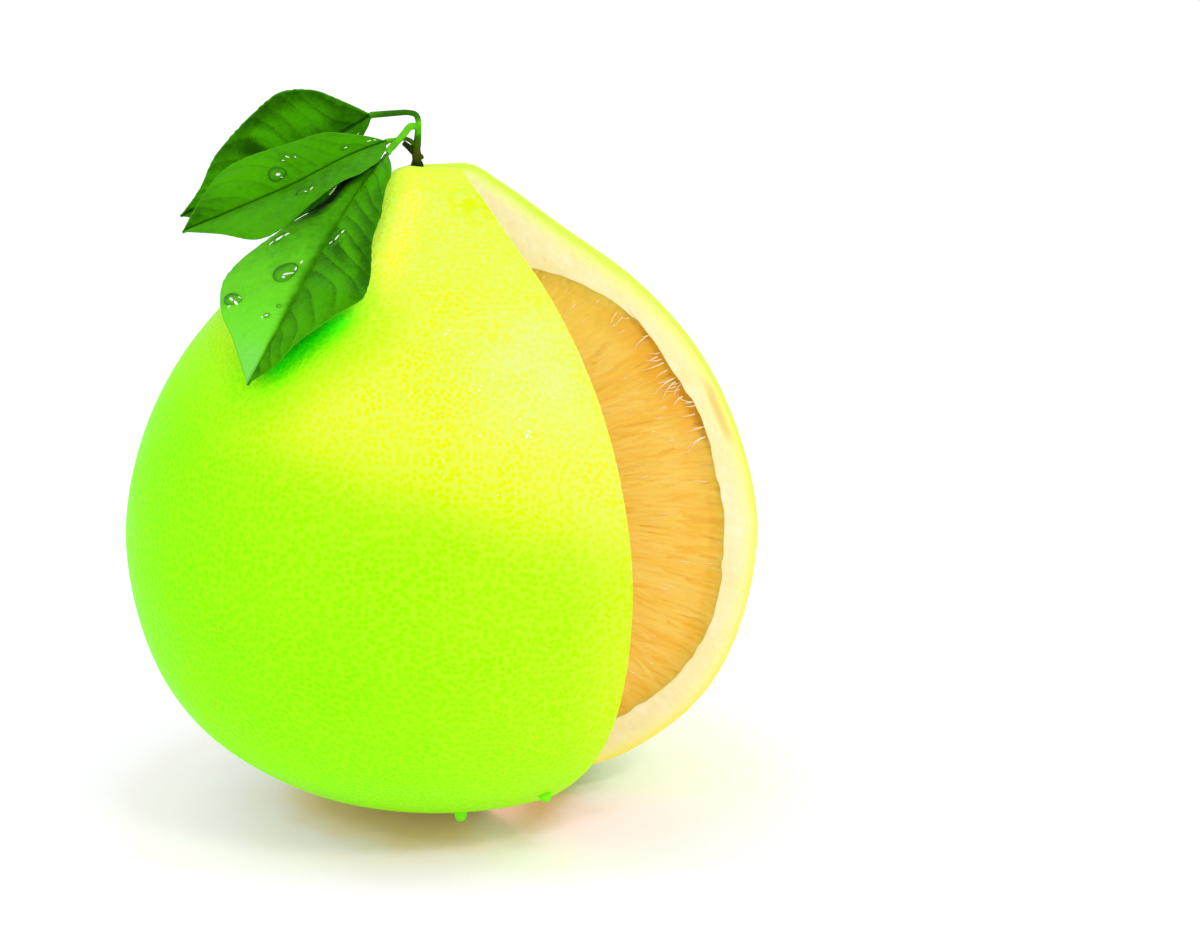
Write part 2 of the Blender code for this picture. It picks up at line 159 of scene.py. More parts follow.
def grid_faces(rows, columns, start=0, around=False, flip=False):
    """Quads of a grid of vertices that are numbered row by row."""
    last = columns if around else columns - 1
    row, column = np.meshgrid(np.arange(rows - 1), np.arange(last), indexing="ij")
    following = (column + 1) % columns
    quads = np.stack([row * columns + column, row * columns + following,
                      (row + 1) * columns + following, (row + 1) * columns + column], -1)
    quads = quads.reshape(-1, 4) + start
    return quads[:, ::-1] if flip else quads


def add_piece(name, parts, materials, replaces=()):
    """Mesh object from parts, each with vertices in millimetres, quads, material and attributes."""
    verts = []
    faces = []
    numbers = []
    keys = sorted({key for part in parts for key in part.get("data", {})})
    data = {key: [] for key in keys}
    total = 0
    for part in parts:
        points = np.asarray(part["verts"], float).reshape(-1, 3)
        verts.append(points)
        faces.extend(tuple(face) for face in (np.asarray(part["faces"]) + total).tolist())
        numbers.extend([part.get("material", 0)] * len(part["faces"]))
        for key in keys:
            values = part.get("data", {}).get(key)
            data[key].append(np.zeros(len(points)) if values is None
                             else np.broadcast_to(values, (len(points),)))
        total += len(points)
    mesh = bpy.data.meshes.new(name)
    mesh.from_pydata((np.concatenate(verts) * MM).tolist(), [], faces)
    mesh.polygons.foreach_set("material_index", np.array(numbers, np.int32))
    for key in keys:
        attribute = mesh.attributes.new(key, "FLOAT", "POINT")
        attribute.data.foreach_set("value", np.concatenate(data[key]).astype(np.float32))
    for mat in materials:
        mesh.materials.append(mat)
    mesh.validate()
    mesh.shade_smooth()
    mesh.set_sharp_from_angle(angle=math.radians(55.0))
    piece = bpy.data.objects.new(name, mesh)
    bpy.context.scene.collection.objects.link(piece)
    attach(piece, "root")
    if replaces:
        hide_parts(*replaces)
    return piece


# ---- materials ----

class Shader:
    """Node tree of one material, written in short calls."""

    def __init__(self, name, **values):
        self.mat = bpy.data.materials.new(name)
        self.mat.use_nodes = True
        self.tree = self.mat.node_tree
        self.main = self.tree.nodes["Principled BSDF"]
        self.finish(**values)

    def add(self, kind, inputs=None, **settings):
        """New node, with its settings and its inputs, which are values or other nodes' outputs."""
        node = self.tree.nodes.new("ShaderNode" + kind)
        for key, value in settings.items():
            setattr(node, key, value)
        for key, value in (inputs or {}).items():
            self.feed(node.inputs[key], value)
        return node

    def feed(self, socket, value):
        """Give a socket a link or a value, which may be a colour without its alpha."""
        if isinstance(value, bpy.types.NodeSocket):
            self.tree.links.new(value, socket)
        elif socket.type == "RGBA":
            socket.default_value = (*value, 1.0)
        else:
            socket.default_value = value

    def place(self):
        """Object coordinates, in metres."""
        return self.add("TexCoord").outputs["Object"]

    def axis(self, vector, name):
        """One coordinate of a vector."""
        return self.add("SeparateXYZ", {0: vector}).outputs[name]

    def scaled(self, vector, scale):
        """Vector stretched along its axes."""
        return self.add("Mapping", {"Vector": vector, "Scale": scale}).outputs[0]

    def value(self, name):
        """Attribute of the mesh."""
        return self.add("Attribute", attribute_name=name).outputs["Fac"]

    def math(self, operation, first, second=0.0, third=0.0):
        """Arithmetic on two or three numbers."""
        return self.add("Math", {0: first, 1: second, 2: third},
                        operation=operation).outputs[0]

    def times(self, value, *factors):
        """Product of numbers."""
        for factor in factors:
            value = self.math("MULTIPLY", value, factor)
        return value

    def blend(self, value, factor, other):
        """Number times a factor, added to another."""
        return self.math("MULTIPLY_ADD", value, factor, other)

    def fade(self, value, low, high, to_low=0.0, to_high=1.0):
        """Smooth step from one number to another."""
        return self.add("MapRange", {"Value": value, "From Min": low, "From Max": high,
                                     "To Min": to_low, "To Max": to_high},
                        interpolation_type="SMOOTHSTEP").outputs[0]

    def mix(self, factor, first, second):
        """Mix of two colours."""
        return self.add("Mix", {0: factor, 6: first, 7: second}, data_type="RGBA").outputs[2]

    def layers(self, color, values, rows):
        """Tints over a colour, each with what it follows, its start, its end, amount and colour."""
        for name, low, high, amount, tint in rows:
            color = self.mix(self.fade(values[name], low, high, 0.0, amount), color, tint)
        return color

    def ramp(self, value, stops):
        """Colour that runs through stops of position, red, green and blue."""
        node = self.add("ValToRGB", {"Fac": value})
        elements = node.color_ramp.elements
        while len(elements) < len(stops):
            elements.new(0.5)
        for element, (position, *color) in zip(elements, stops):
            element.position = position
            element.color = (*color, 1.0)
        return node.outputs["Color"]

    def noise(self, vector, scale, detail=3.0, rough=0.5):
        """Noise between 0 and 1."""
        return self.add("TexNoise", {"Vector": vector, "Scale": scale, "Detail": detail,
                                     "Roughness": rough}).outputs["Fac"]

    def cells(self, vector, scale, feature="F1"):
        """Distance to the nearest of scattered points, over the size of a cell."""
        return self.add("TexVoronoi", {"Vector": vector, "Scale": scale},
                        feature=feature).outputs["Distance"]

    def relief(self, *bumps):
        """Bumps on one another: a height between 0 and 1, its depth in metres and a strength."""
        normal = {}
        for height, depth, strength in bumps:
            node = self.add("Bump", {"Height": height, "Distance": depth, "Strength": strength,
                                     **normal})
            normal = {"Normal": node.outputs["Normal"]}
        return normal["Normal"]

    def finish(self, **inputs):
        """Give the shader's own sockets links or values and return the material."""
        for key, value in inputs.items():
            self.feed(self.main.inputs[key.replace("_", " ")], value)
        return self.mat


# Skin and its glands, from the deepest green, which is painted leaf shade, through the skin's own greens to
# full yellow
SKIN_GROUND = ((0.0, 0.030, 0.96, 0.001), (0.2, 0.190, 0.96, 0.001), (0.35, 0.290, 0.96, 0.003),
               (0.6, 0.438, 0.94, 0.011), (0.8, 0.590, 0.93, 0.028), (1.0, 0.680, 0.92, 0.066))
SKIN_GLAND = ((0.0, 0.005, 0.93, 0.001), (0.2, 0.120, 0.93, 0.001), (0.35, 0.220, 0.93, 0.001),
              (0.6, 0.345, 0.91, 0.001), (0.8, 0.550, 0.82, 0.001), (1.0, 0.690, 0.74, 0.001))
SKIN_PAINTED_SHEEN = (0.66, 0.94, 0.26)
SKIN_LACE = (0.69, 0.88, 0.020)
SKIN_GOLD = (0.66, 0.86, 0.005)
SKIN_SPECK = (0.62, 0.46, 0.01)


def skin_material():
    """Waxy skin with oil glands, green where it is unripe and yellow where riper, with a painted leaf
    shadow, a painted sheen and a painted glow beside the lower leaf.
    """
    shader = Shader("pomelo_skin", Roughness=0.42, Specular_IOR_Level=0.015,
                    Specular_Tint=(0.75, 1.0, 0.15), Emission_Strength=1.0)
    place = shader.place()
    rise = shader.value("rise")
    crinkled = shader.value("crinkled")
    # The skin's green to yellow, with painted leaf shade in its deepest green
    ripe = shader.blend(shader.noise(place, 40.0), 0.10, shader.value("ripe"))
    ripe = shader.math("ADD", ripe, -0.05)
    spots = gland_spots(shader, place, rise)
    blotch = shader.noise(place, 90.0, 4.0, 0.6)
    worms = shader.noise(place, 420.0, 3.0, 0.6)
    dots = shader.times(shader.fade(spots, 0.46, 0.24), shader.fade(blotch, 0.35, 0.6, 1.0, 0.7),
                        shader.fade(rise, 200.0, 228.0, 1.0, 0.15))
    # Painted highlight: pale sheen, broken by blotches and glands
    painted_sheen = shader.times(shader.value("sheen"), shader.fade(blotch, 0.30, 0.70, 0.55, 1.0),
                        shader.blend(dots, -0.5, 1.0))
    lace = shader.times(shader.fade(rise, 185.0, 215.0, 0.0, 0.75),
                        shader.fade(shader.noise(place, 900.0, 2.0), 0.58, 0.44))
    gold = shader.times(shader.fade(worms, 0.56, 0.44), crinkled)
    specks = shader.fade(shader.cells(place, 95.0), 0.055, 0.03, 0.0, 0.75)
    color = shader.mix(dots, shader.ramp(ripe, SKIN_GROUND), shader.ramp(ripe, SKIN_GLAND))
    for mask, tint in ((painted_sheen, SKIN_PAINTED_SHEEN), (lace, SKIN_LACE), (gold, SKIN_GOLD),
                       (specks, SKIN_SPECK)):
        color = shader.mix(mask, color, tint)
    relief = shader.relief((spots, 0.00028, 0.7), (shader.noise(place, 1500.0, 2.0), 0.00006, 0.5),
                           (shader.noise(place, 60.0, 2.0), 0.0010, 0.3),
                           (shader.times(worms, crinkled), 0.0011, 1.0))
    # The emission is a painted glow in the skin's own colour beside the lower leaf
    return shader.finish(Base_Color=color, Normal=relief,
                         Roughness=shader.fade(blotch, 0.3, 0.7, 0.36, 0.48),
                         Emission_Color=shader.mix(shader.value("lift"), (0.0, 0.0, 0.0), color))


GLAND_PITCH = 1.55
GLAND_SWAY = 4.5
GLAND_SCATTER = 0.9
# Bands of the skin: where each starts along the profile and how many millimetres a radian takes
GLAND_BANDS = ((0.0, 10.0), (18.0, 26.0), (35.0, 46.0), (62.0, 74.0), (183.0, 46.0), (211.0, 26.0),
               (232.0, 11.0))


def gland_spots(shader, place, rise):
    """Distance to the nearest oil gland, with bands that keep the glands evenly spaced."""
    wander = shader.add("TexNoise", {"Vector": place, "Scale": 55.0, "Detail": 1.0})
    sway = shader.add("SeparateXYZ", {0: wander.outputs["Color"]}).outputs
    edge = shader.blend(shader.noise(place, 160.0, 2.0), 10.0, rise)
    reach = GLAND_BANDS[0][1]
    for (_, before), (start, after) in zip(GLAND_BANDS, GLAND_BANDS[1:]):
        passed = shader.math("GREATER_THAN", edge, start + 5.0)
        reach = shader.blend(passed, after - before, reach)
    lap = shader.blend(sway["X"], GLAND_SWAY, shader.times(shader.value("turn"), reach))
    up = shader.blend(sway["Y"], GLAND_SWAY, rise)
    flat = shader.add("CombineXYZ", {"X": lap, "Y": up, "Z": 0.0}).outputs[0]
    return shader.add("TexVoronoi", {"Vector": flat, "Scale": 1.0 / GLAND_PITCH,
                                     "Randomness": GLAND_SCATTER},
                      voronoi_dimensions="2D", feature="F1").outputs["Distance"]


PITH_CREAM = ((0.30, 0.87, 0.80, 0.40), (0.55, 0.88, 0.84, 0.47), (0.75, 0.90, 0.88, 0.56))
PITH_LAYERS = (("height", 0.142, 0.160, 0.6, (0.92, 0.83, 0.62)),
               ("wisps", 0.48, 0.70, 0.4, (0.95, 0.93, 0.76)),
               ("patches", 0.66, 0.74, 0.35, (0.78, 0.56, 0.25)))
# Rind next to the skin: at the side, low down and near the crown, and under that
RIM_SIDE = (0.78, 0.93, 0.20)
RIM_LOW = (0.90, 0.86, 0.15)
RIM_CROWN = (0.62, 0.93, 0.05)
UNDER_SIDE = (0.90, 0.89, 0.34)
UNDER_CROWN = (0.78, 0.92, 0.22)
BRUISE = (0.72, 0.52, 0.11)
BRUISE_HEIGHT = 0.104
BRUISE_DEPTH = 2.6
PITH_INSIDE = (0.82, 0.60, 0.24)


def pith_material():
    """Cut rind: yellow-green under the skin that fades into soft cream pith."""
    shader = Shader("pomelo_pith", Roughness=0.8, Specular_IOR_Level=0.1,
                    Specular_Tint=(1.0, 0.95, 0.7))
    place = shader.place()
    height = shader.axis(place, "Z")
    depth = shader.blend(shader.noise(place, 160.0), 1.2, shader.value("depth"))
    values = {"height": height, "wisps": shader.noise(place, 260.0, 4.0, 0.65),
              "patches": shader.noise(place, 38.0, 2.0)}
    cream = shader.ramp(shader.noise(place, 70.0, 4.0, 0.6), PITH_CREAM)
    cream = shader.layers(cream, values, PITH_LAYERS)
    crownward = shader.fade(height, 0.122, 0.150)
    outside = shader.mix(shader.fade(height, 0.125, 0.085), RIM_SIDE, RIM_LOW)
    outside = shader.mix(crownward, outside, RIM_CROWN)
    under = shader.mix(shader.fade(depth, 1.5, 5.8),
                       shader.mix(crownward, UNDER_SIDE, UNDER_CROWN), cream)
    color = shader.mix(shader.fade(depth, 0.6, 2.8), outside, under)
    level = shader.math("ABSOLUTE", shader.math("ADD", height, -BRUISE_HEIGHT))
    inset = shader.math("ABSOLUTE", shader.math("ADD", depth, -BRUISE_DEPTH))
    bruised = shader.times(shader.fade(level, 0.011, 0.003), shader.fade(inset, 1.6, 0.2), 0.65)
    color = shader.mix(bruised, color, BRUISE)
    inner = shader.fade(shader.value("wall"), 0.9, 0.0, 0.0, 0.12)
    relief = shader.relief((shader.noise(place, 700.0, 4.0, 0.65), 0.00022, 0.6),
                           (shader.cells(place, 420.0), 0.00016, 0.5))
    return shader.finish(Base_Color=shader.mix(inner, color, PITH_INSIDE), Normal=relief)


FLESH_TONES = ((0.0, 0.85, 0.52, 0.064), (0.45, 0.87, 0.59, 0.095), (1.0, 0.89, 0.64, 0.132))
# Tints over the sac tones: what they follow, where they start and are full, amount and colour; the crease
# row is painted shade between the sacs and the wall row painted shade along the wall
FLESH_LAYERS = (("cloud", 0.42, 0.68, 0.6, (0.88, 0.67, 0.17)),
                ("cloud", 0.44, 0.25, 0.45, (0.82, 0.47, 0.045)),
                ("fibres", 0.52, 0.80, 0.45, (0.93, 0.76, 0.30)),
                ("fibres", 0.42, 0.22, 0.15, (0.79, 0.45, 0.040)),
                ("crease", 0.75, 1.0, 0.08, (0.80, 0.46, 0.045)),
                ("height", 0.110, 0.132, 0.75, (0.89, 0.74, 0.14)),
                ("wall", 13.0, 2.0, 0.38, (0.80, 0.45, 0.035)))
FLESH_TORN_SHADE = (0.76, 0.37, 0.018)


def flesh_material():
    """Wet juice sacs: amber, lighter along their backs, with soft pale streaks between them, painted shade
    in their creases and along the wall, and more where the flesh is torn from it.
    """
    shader = Shader("pomelo_flesh", Roughness=0.3, Specular_IOR_Level=0.3,
                    Specular_Tint=(1.0, 0.85, 0.45), Subsurface_Weight=0.6,
                    Subsurface_Radius=(0.006, 0.003, 0.0008), Subsurface_Scale=1.0)
    place = shader.place()
    height = shader.axis(place, "Z")
    wall = shader.value("wall")
    along = shader.add("CombineXYZ", {"X": shader.value("around"), "Y": shader.value("inward"),
                                      "Z": 0.0}).outputs[0]
    fibres = shader.noise(shader.scaled(along, (1.7, 0.16, 1.0)), 1.0, 4.0, 0.6)
    values = {"fibres": fibres, "cloud": shader.noise(shader.scaled(along, (0.16, 0.05, 1.0)), 1.0),
              "crease": shader.value("crease"), "height": height, "wall": wall}
    color = shader.layers(shader.ramp(shader.value("tone"), FLESH_TONES), values, FLESH_LAYERS)
    # Painted shade where the flesh is torn back from the wall
    torn = shader.times(shader.fade(height, 0.090, 0.104), shader.fade(height, 0.132, 0.122),
                        shader.fade(wall, 10.0, 1.5, 0.0, 0.75))
    relief = shader.relief((fibres, 0.00014, 0.5), (shader.noise(place, 900.0, 2.0), 0.00010, 0.4))
    return shader.finish(Base_Color=shader.mix(torn, color, FLESH_TORN_SHADE), Normal=relief)


THREAD_TONES = ((0.3, 0.90, 0.66, 0.30), (0.7, 0.95, 0.88, 0.66))
PAINTED_GLINT_TONES = ((0.3, 0.90, 0.95, 0.70), (0.6, 0.98, 0.99, 0.93))


def speckled_material(name, tones, scale, detail, **values):
    """Material with two tones that follow a noise."""
    shader = Shader(name, **values)
    noise = shader.noise(shader.place(), scale, detail)
    return shader.finish(Base_Color=shader.ramp(noise, tones))


# Painted reflection near the tip of a leaf's lit half
LEAF_PAINTED_REFLECTION = (0.19, 0.60, 0.12)
LEAF_SHADOW = (0.002, 0.008, 0.001)
LEAF_HEM = (0.090, 0.440, 0.004)
LEAF_UNDERSIDE = (0.14, 0.40, 0.03)


def leaf_material(name, dark, light, bright):
    """Glossy leaf: tones between its veins with painted light and shade across them, painted light on one
    half with a painted reflection near the tip, painted shadow under another leaf, a paler underside.
    """
    shader = Shader(name, Roughness=0.32, Specular_IOR_Level=0.02, Specular_Tint=(0.4, 1.0, 0.2))
    red, green, blue = dark
    place = shader.place()
    rib = shader.value("rib")
    patch = shader.noise(place, 130.0, 4.0, 0.6)
    fleck = shader.noise(place, 700.0, 3.0, 0.6)
    body = shader.blend(shader.math("ADD", patch, -0.5), 0.7, shader.value("tone"))
    body = shader.blend(shader.math("ADD", fleck, -0.5), 0.45, body)
    wide = shader.blend(fleck, 0.15, shader.blend(patch, 0.25, shader.value("lit")))
    beside = shader.fade(rib, 0.75, 0.30, 0.0, 0.85)
    keel = shader.fade(rib, 0.22, 0.08, 0.0, 0.7)
    midrib = shader.times(shader.math("SUBTRACT", beside, keel), shader.value("ribbed"))
    color = shader.mix(shader.fade(body, 0.0, 1.0), dark, light)
    # Tints: patchy light green with painted light on one half, a painted reflection near the tip, painted
    # shade in the vein furrows, the midrib, painted shadow under another leaf, the hem and the paler
    # underside
    for mask, tint in ((shader.fade(wide, 0.30, 1.25), bright),
                       (shader.fade(wide, 1.0, 1.5, 0.0, 0.8), LEAF_PAINTED_REFLECTION),
                       (shader.value("furrow"), (red * 0.7, green * 0.7, blue)),
                       (midrib, (red * 0.45, green * 0.5, blue)),
                       (shader.value("shaded"), LEAF_SHADOW), (shader.value("hem"), LEAF_HEM),
                       (shader.times(shader.value("under"), 0.7), LEAF_UNDERSIDE)):
        color = shader.mix(mask, color, tint)
    mesh = shader.fade(shader.cells(place, 650.0, "DISTANCE_TO_EDGE"), 0.0, 0.12)
    return shader.finish(Base_Color=color,
                         Normal=shader.relief((mesh, 0.00010, 0.5), (fleck, 0.00040, 0.5)),
                         Roughness=shader.fade(patch, 0.3, 0.7, 0.26, 0.42))


TWIG_TONES = ((0.0, 0.012, 0.022, 0.001), (0.3, 0.055, 0.070, 0.002), (0.6, 0.024, 0.150, 0.001),
              (0.8, 0.050, 0.290, 0.002), (1.0, 0.120, 0.520, 0.008))


def twig_material():
    """Brown woody foot that turns into green shoots."""
    shader = Shader("pomelo_twig", Roughness=0.45, Specular_IOR_Level=0.04,
                    Specular_Tint=(0.7, 1.0, 0.4))
    place = shader.place()
    green = shader.blend(shader.noise(place, 700.0, 4.0, 0.7), 0.4, shader.value("green"))
    ridges = shader.noise(shader.scaled(place, (1.0, 1.0, 0.25)), 900.0, 4.0, 0.7)
    return shader.finish(Base_Color=shader.ramp(shader.math("ADD", green, -0.2), TWIG_TONES),
                         Normal=shader.relief((ridges, 0.00035, 0.8)))


def water_material(name, deep, clear, thin, thick):
    """Water lying on a surface: clear in the middle, deeper and less clear round its rim."""
    shader = Shader(name, Roughness=0.04, Specular_IOR_Level=0.25, IOR=1.33,
                    Specular_Tint=(0.6, 1.0, 0.4))
    facing = shader.add("LayerWeight", {"Blend": 0.5}).outputs["Facing"]
    rim = shader.blend(shader.noise(shader.place(), 350.0, 1.0), 0.25, facing)
    return shader.finish(Base_Color=shader.mix(shader.fade(rim, 0.15, 0.7), clear, deep),
                         Alpha=shader.fade(rim, 0.10, 0.75, thin, thick))


# Floor colour darker and warmer near the fruit, a painted contact shadow; its glow is painted light, weaker
# near the fruit, that keeps the rest evenly white
FLOOR_BASE = ((0.0, 0.94, 0.56, 0.50), (0.5, 0.94, 0.84, 0.80), (1.0, 0.94, 0.94, 0.94))
FLOOR_GLOW = ((0.05, 0.12, 0.055, 0.03), (0.11, 0.16, 0.09, 0.10), (0.20, 0.19, 0.15, 0.30),
              (0.36, 0.18, 0.11, 0.36), (0.56, 0.18, 0.045, 0.25), (1.0, 0.20, 0.18, 0.34))
# Parts of the floor with painted tints, the last a painted shadow beside the cut, the others undoing the
# fruit's green light: axis, from, to, reach from, to, base and glow
FLOOR_PAINTED_TINTS = (("X", 0.000, 0.032, 0.150, 0.080, (0.92, 0.84, 0.77), (0.14, 0.12, 0.22)),
               ("Y", -0.045, -0.070, 0.160, 0.100, None, (0.24, 0.12, 0.48)),
               ("X", 0.010, 0.026, 0.058, 0.036, (0.62, 0.48, 0.22), (0.02, 0.01, 0.0)))


def floor_material():
    """White floor that glows to stay evenly white, with a painted warm contact shadow near the fruit, tints
    that undo the green light of the fruit and a painted shadow beside the cut.
    """
    shader = Shader("studio_floor", Roughness=0.6, Specular_IOR_Level=0.1, Emission_Strength=1.0)
    place = shader.place()
    reach = shader.add("VectorMath", {0: place}, operation="LENGTH").outputs["Value"]
    reach = shader.blend(shader.noise(place, 40.0), 0.02, reach)
    white = shader.ramp(shader.fade(reach, 0.03, 0.13), FLOOR_BASE)
    glow = shader.ramp(shader.blend(reach, 10.0, -0.35), FLOOR_GLOW)
    for axis, start, end, far, near, base_tint, glow_tint in FLOOR_PAINTED_TINTS:
        mask = shader.times(shader.fade(shader.axis(place, axis), start, end),
                            shader.fade(reach, far, near))
        if base_tint:
            white = shader.mix(mask, white, base_tint)
        glow = shader.mix(mask, glow, glow_tint)
    return shader.finish(Base_Color=white, Emission_Color=glow)


# ---- the fruit ----

SKIN_STEPS = 15
BASE_STEPS = 6
SKIN_STATIONS = 300
CUT_ROWS = 26
CORE_STEPS = 60
CREST_HEIGHT = 0.6
CREST_ANGLE = 0.45
CREST_SPREAD = 0.8
CREST_RADIUS = 5.0
CREST_WIDTH = 4.5
CREST_STARTS = 120.0
WALL_DEPTH = 9.0
WALL_ROWS = 5


def skin_profile():
    """Radius and height of the skin, from the foot of the axis to its top."""
    base = np.stack([np.linspace(0.0, SKIN_OUTLINE[0][0], BASE_STEPS + 1)[:-1],
                     np.zeros(BASE_STEPS)], 1)
    rise = smooth_curve(SKIN_OUTLINE, SKIN_STEPS)
    rise[:, 1] = np.maximum(rise[:, 1], 0.0)
    return np.concatenate([base, rise])


def lobed(profile, angle):
    """Profile at an angle round the axis, with the slight unevenness of a grown fruit."""
    swell = 1.0 + sum(size * np.sin(count * angle + phase) for size, count, phase in LOBES)
    ripple = 0.12 * np.sin(3.0 * angle + profile[:, 1] / 9.0) * np.minimum(profile[:, 1] / 20.0, 1.0)
    radius = profile[:, 0] * swell + ripple * np.minimum(profile[:, 0] / 20.0, 1.0)
    crest = CREST_HEIGHT * math.exp(-((angle - CREST_ANGLE) / CREST_SPREAD) ** 2)
    crest = crest * np.exp(-((profile[:, 0] - CREST_RADIUS) / CREST_WIDTH) ** 2)
    crest = crest * (profile[:, 1] > CREST_STARTS)
    return np.stack([radius, profile[:, 1] + crest], 1)


def flesh_wall(count, inset):
    """Outline of the flesh in the cut face, slightly ragged as tissue is."""
    curve = smooth_curve(FLESH_OUTLINE, 12)
    line = even_points(curve, count)
    share = np.linspace(0.0, 1.0, count)
    ragged = 0.22 * np.sin(share * 83.0 + 2.0 * np.sin(share * 31.0))
    ragged = ragged + 0.16 * np.sin(share * 171.0 + 1.5 * np.sin(share * 57.0))
    ragged = ragged * np.sin(math.pi * share) ** 0.5
    along = unit(np.gradient(line, axis=0))
    inward = np.stack([-along[:, 1], along[:, 0]], 1)
    return line + inward * (inset + ragged)[:, None]


def on_plane(flat, cut, inward=0.0, side=1.0):
    """Points at a distance from the axis and a height, in a plane that stands on the axis."""
    along = np.array([math.cos(cut), math.sin(cut)])
    away = np.array([-math.sin(cut), math.cos(cut)]) * side
    ground = flat[..., :1] * along + np.broadcast_to(inward, flat[..., 0].shape)[..., None] * away
    return np.concatenate([ground, flat[..., 1:2]], -1)


# Redness of the skin's green, over the red of full yellow: along the foot and up the left side, where the
# green is partly the skin's own and partly painted shade of the leaves
FOOT_PLACES = (-80.0, -20.0, 0.0, 20.0, 33.0, 45.0, 80.0)
FOOT_RIPE = (0.36, 0.40, 0.44, 0.53, 0.62, 0.78, 0.95)
LEFT_PLACES = (-80.0, -62.0, -52.0, -45.0, -35.0, -27.0, -20.0)
LEFT_RIPE = (0.34, 0.35, 0.40, 0.52, 0.70, 0.92, 1.0)
BACK_PLACES = (-80.0, -60.0, -30.0, 10.0, 35.0)
BACK_RIPE = (0.34, 0.38, 0.52, 0.85, 1.0)
TURN_HEIGHT = 101.0
TURN_SLOPE = -0.3
TURN_WIDTH = 4.2
# Line along which the lower leaf's shadow is painted on the skin in deep green
SHADE_LINE = ((-32.5, -51.5, 122.5), (-20.5, -48.5, 131.5))
# Strip beside the lower leaf where the skin glows in its own colour, painted light that stands in for light
# through the leaf: line, reach and amount
LIT_LINE = ((-8.5, -8, 162), (-7.6, -19, 157), (-8.4, -26, 151.5), (-9.8, -33, 146.3),
            (-11.2, -40, 141), (-12.7, -46, 136), (-16, -50, 131.5))
LIT_REACH = 5.5
LIT_AMOUNT = 0.37
# Painted highlight, a pale sheen on the skin: place, reach and strength
PAINTED_SHEENS = (((26.0, -54.0, 122.0), 17.0, 0.85), ((4.0, -30.0, 150.0), 20.0, 0.5),
          ((21.0, -37.0, 141.0), 15.0, 0.4), ((40.0, -55.0, 100.0), 16.0, 0.3))
CRINKLE_PLACE = (9.5, -18.5, 156.0)


def distance_to_line(points, ends):
    """Distance of points to the stretch between two ends."""
    start, end = np.array(ends)
    step = end - start
    share = np.clip(((points - start) @ step) / (step @ step), 0.0, 1.0)
    return np.linalg.norm(points - start - share[:, None] * step, axis=1)


def eased(values, low, high):
    """Smooth step of values from 0 at low to 1 at high."""
    share = np.clip((values - low) / (high - low), 0.0, 1.0)
    return share * share * (3.0 - 2.0 * share)


def ripeness_and_leaf_shade(points):
    """From 0 in the deepest green to 1 where the skin is yellow, with a painted shadow of deep green under
    the lower leaf.
    """
    across, height = points[:, 0], points[:, 2]
    foot = np.interp(across, FOOT_PLACES, FOOT_RIPE)
    growth = np.clip((height - 55.0) / 40.0, 0.0, 1.0) * np.clip((across + 55.0) / 30.0, 0.0, 1.0)
    low = foot + (0.60 - foot) * 0.55 * growth
    turn = TURN_HEIGHT + TURN_SLOPE * (across + 10.0)
    over = 1.0 / (1.0 + np.exp(-(height - turn) / TURN_WIDTH))
    ripe = low * (1.0 - over) + over
    left = np.interp(across, LEFT_PLACES, LEFT_RIPE) + 0.008 * np.maximum(height - 105.0, 0.0)
    behind = np.clip((points[:, 1] + 20.0) / 55.0, 0.0, 1.0)
    left = left + (np.interp(across, BACK_PLACES, BACK_RIPE) - left) * behind
    ripe = np.minimum(ripe, left)
    # Painted shadow of the lower leaf: a paler green halo round a deep green core
    away = distance_to_line(points, SHADE_LINE)
    leaf_shade_halo = eased(away, 22.0, 7.0)
    return ripe * (1.0 - 0.36 * leaf_shade_halo) * (1.0 - eased(away, 9.0, 1.0))


def painted_glow_over(points):
    """Painted glow of the skin beside the lower leaf, standing in for light through the leaf."""
    away = np.min([distance_to_line(points, ends) for ends in zip(LIT_LINE, LIT_LINE[1:])], axis=0)
    return LIT_AMOUNT * np.exp(-(away / LIT_REACH) ** 2)


def painted_sheen_over(points):
    """Painted highlight: a pale sheen where the skin faces the window."""
    sheen = np.zeros(len(points))
    for place, reach, strength in PAINTED_SHEENS:
        away = np.linalg.norm(points - np.array(place), axis=1)
        sheen = np.maximum(sheen, strength * np.exp(-(away / reach) ** 2))
    return sheen


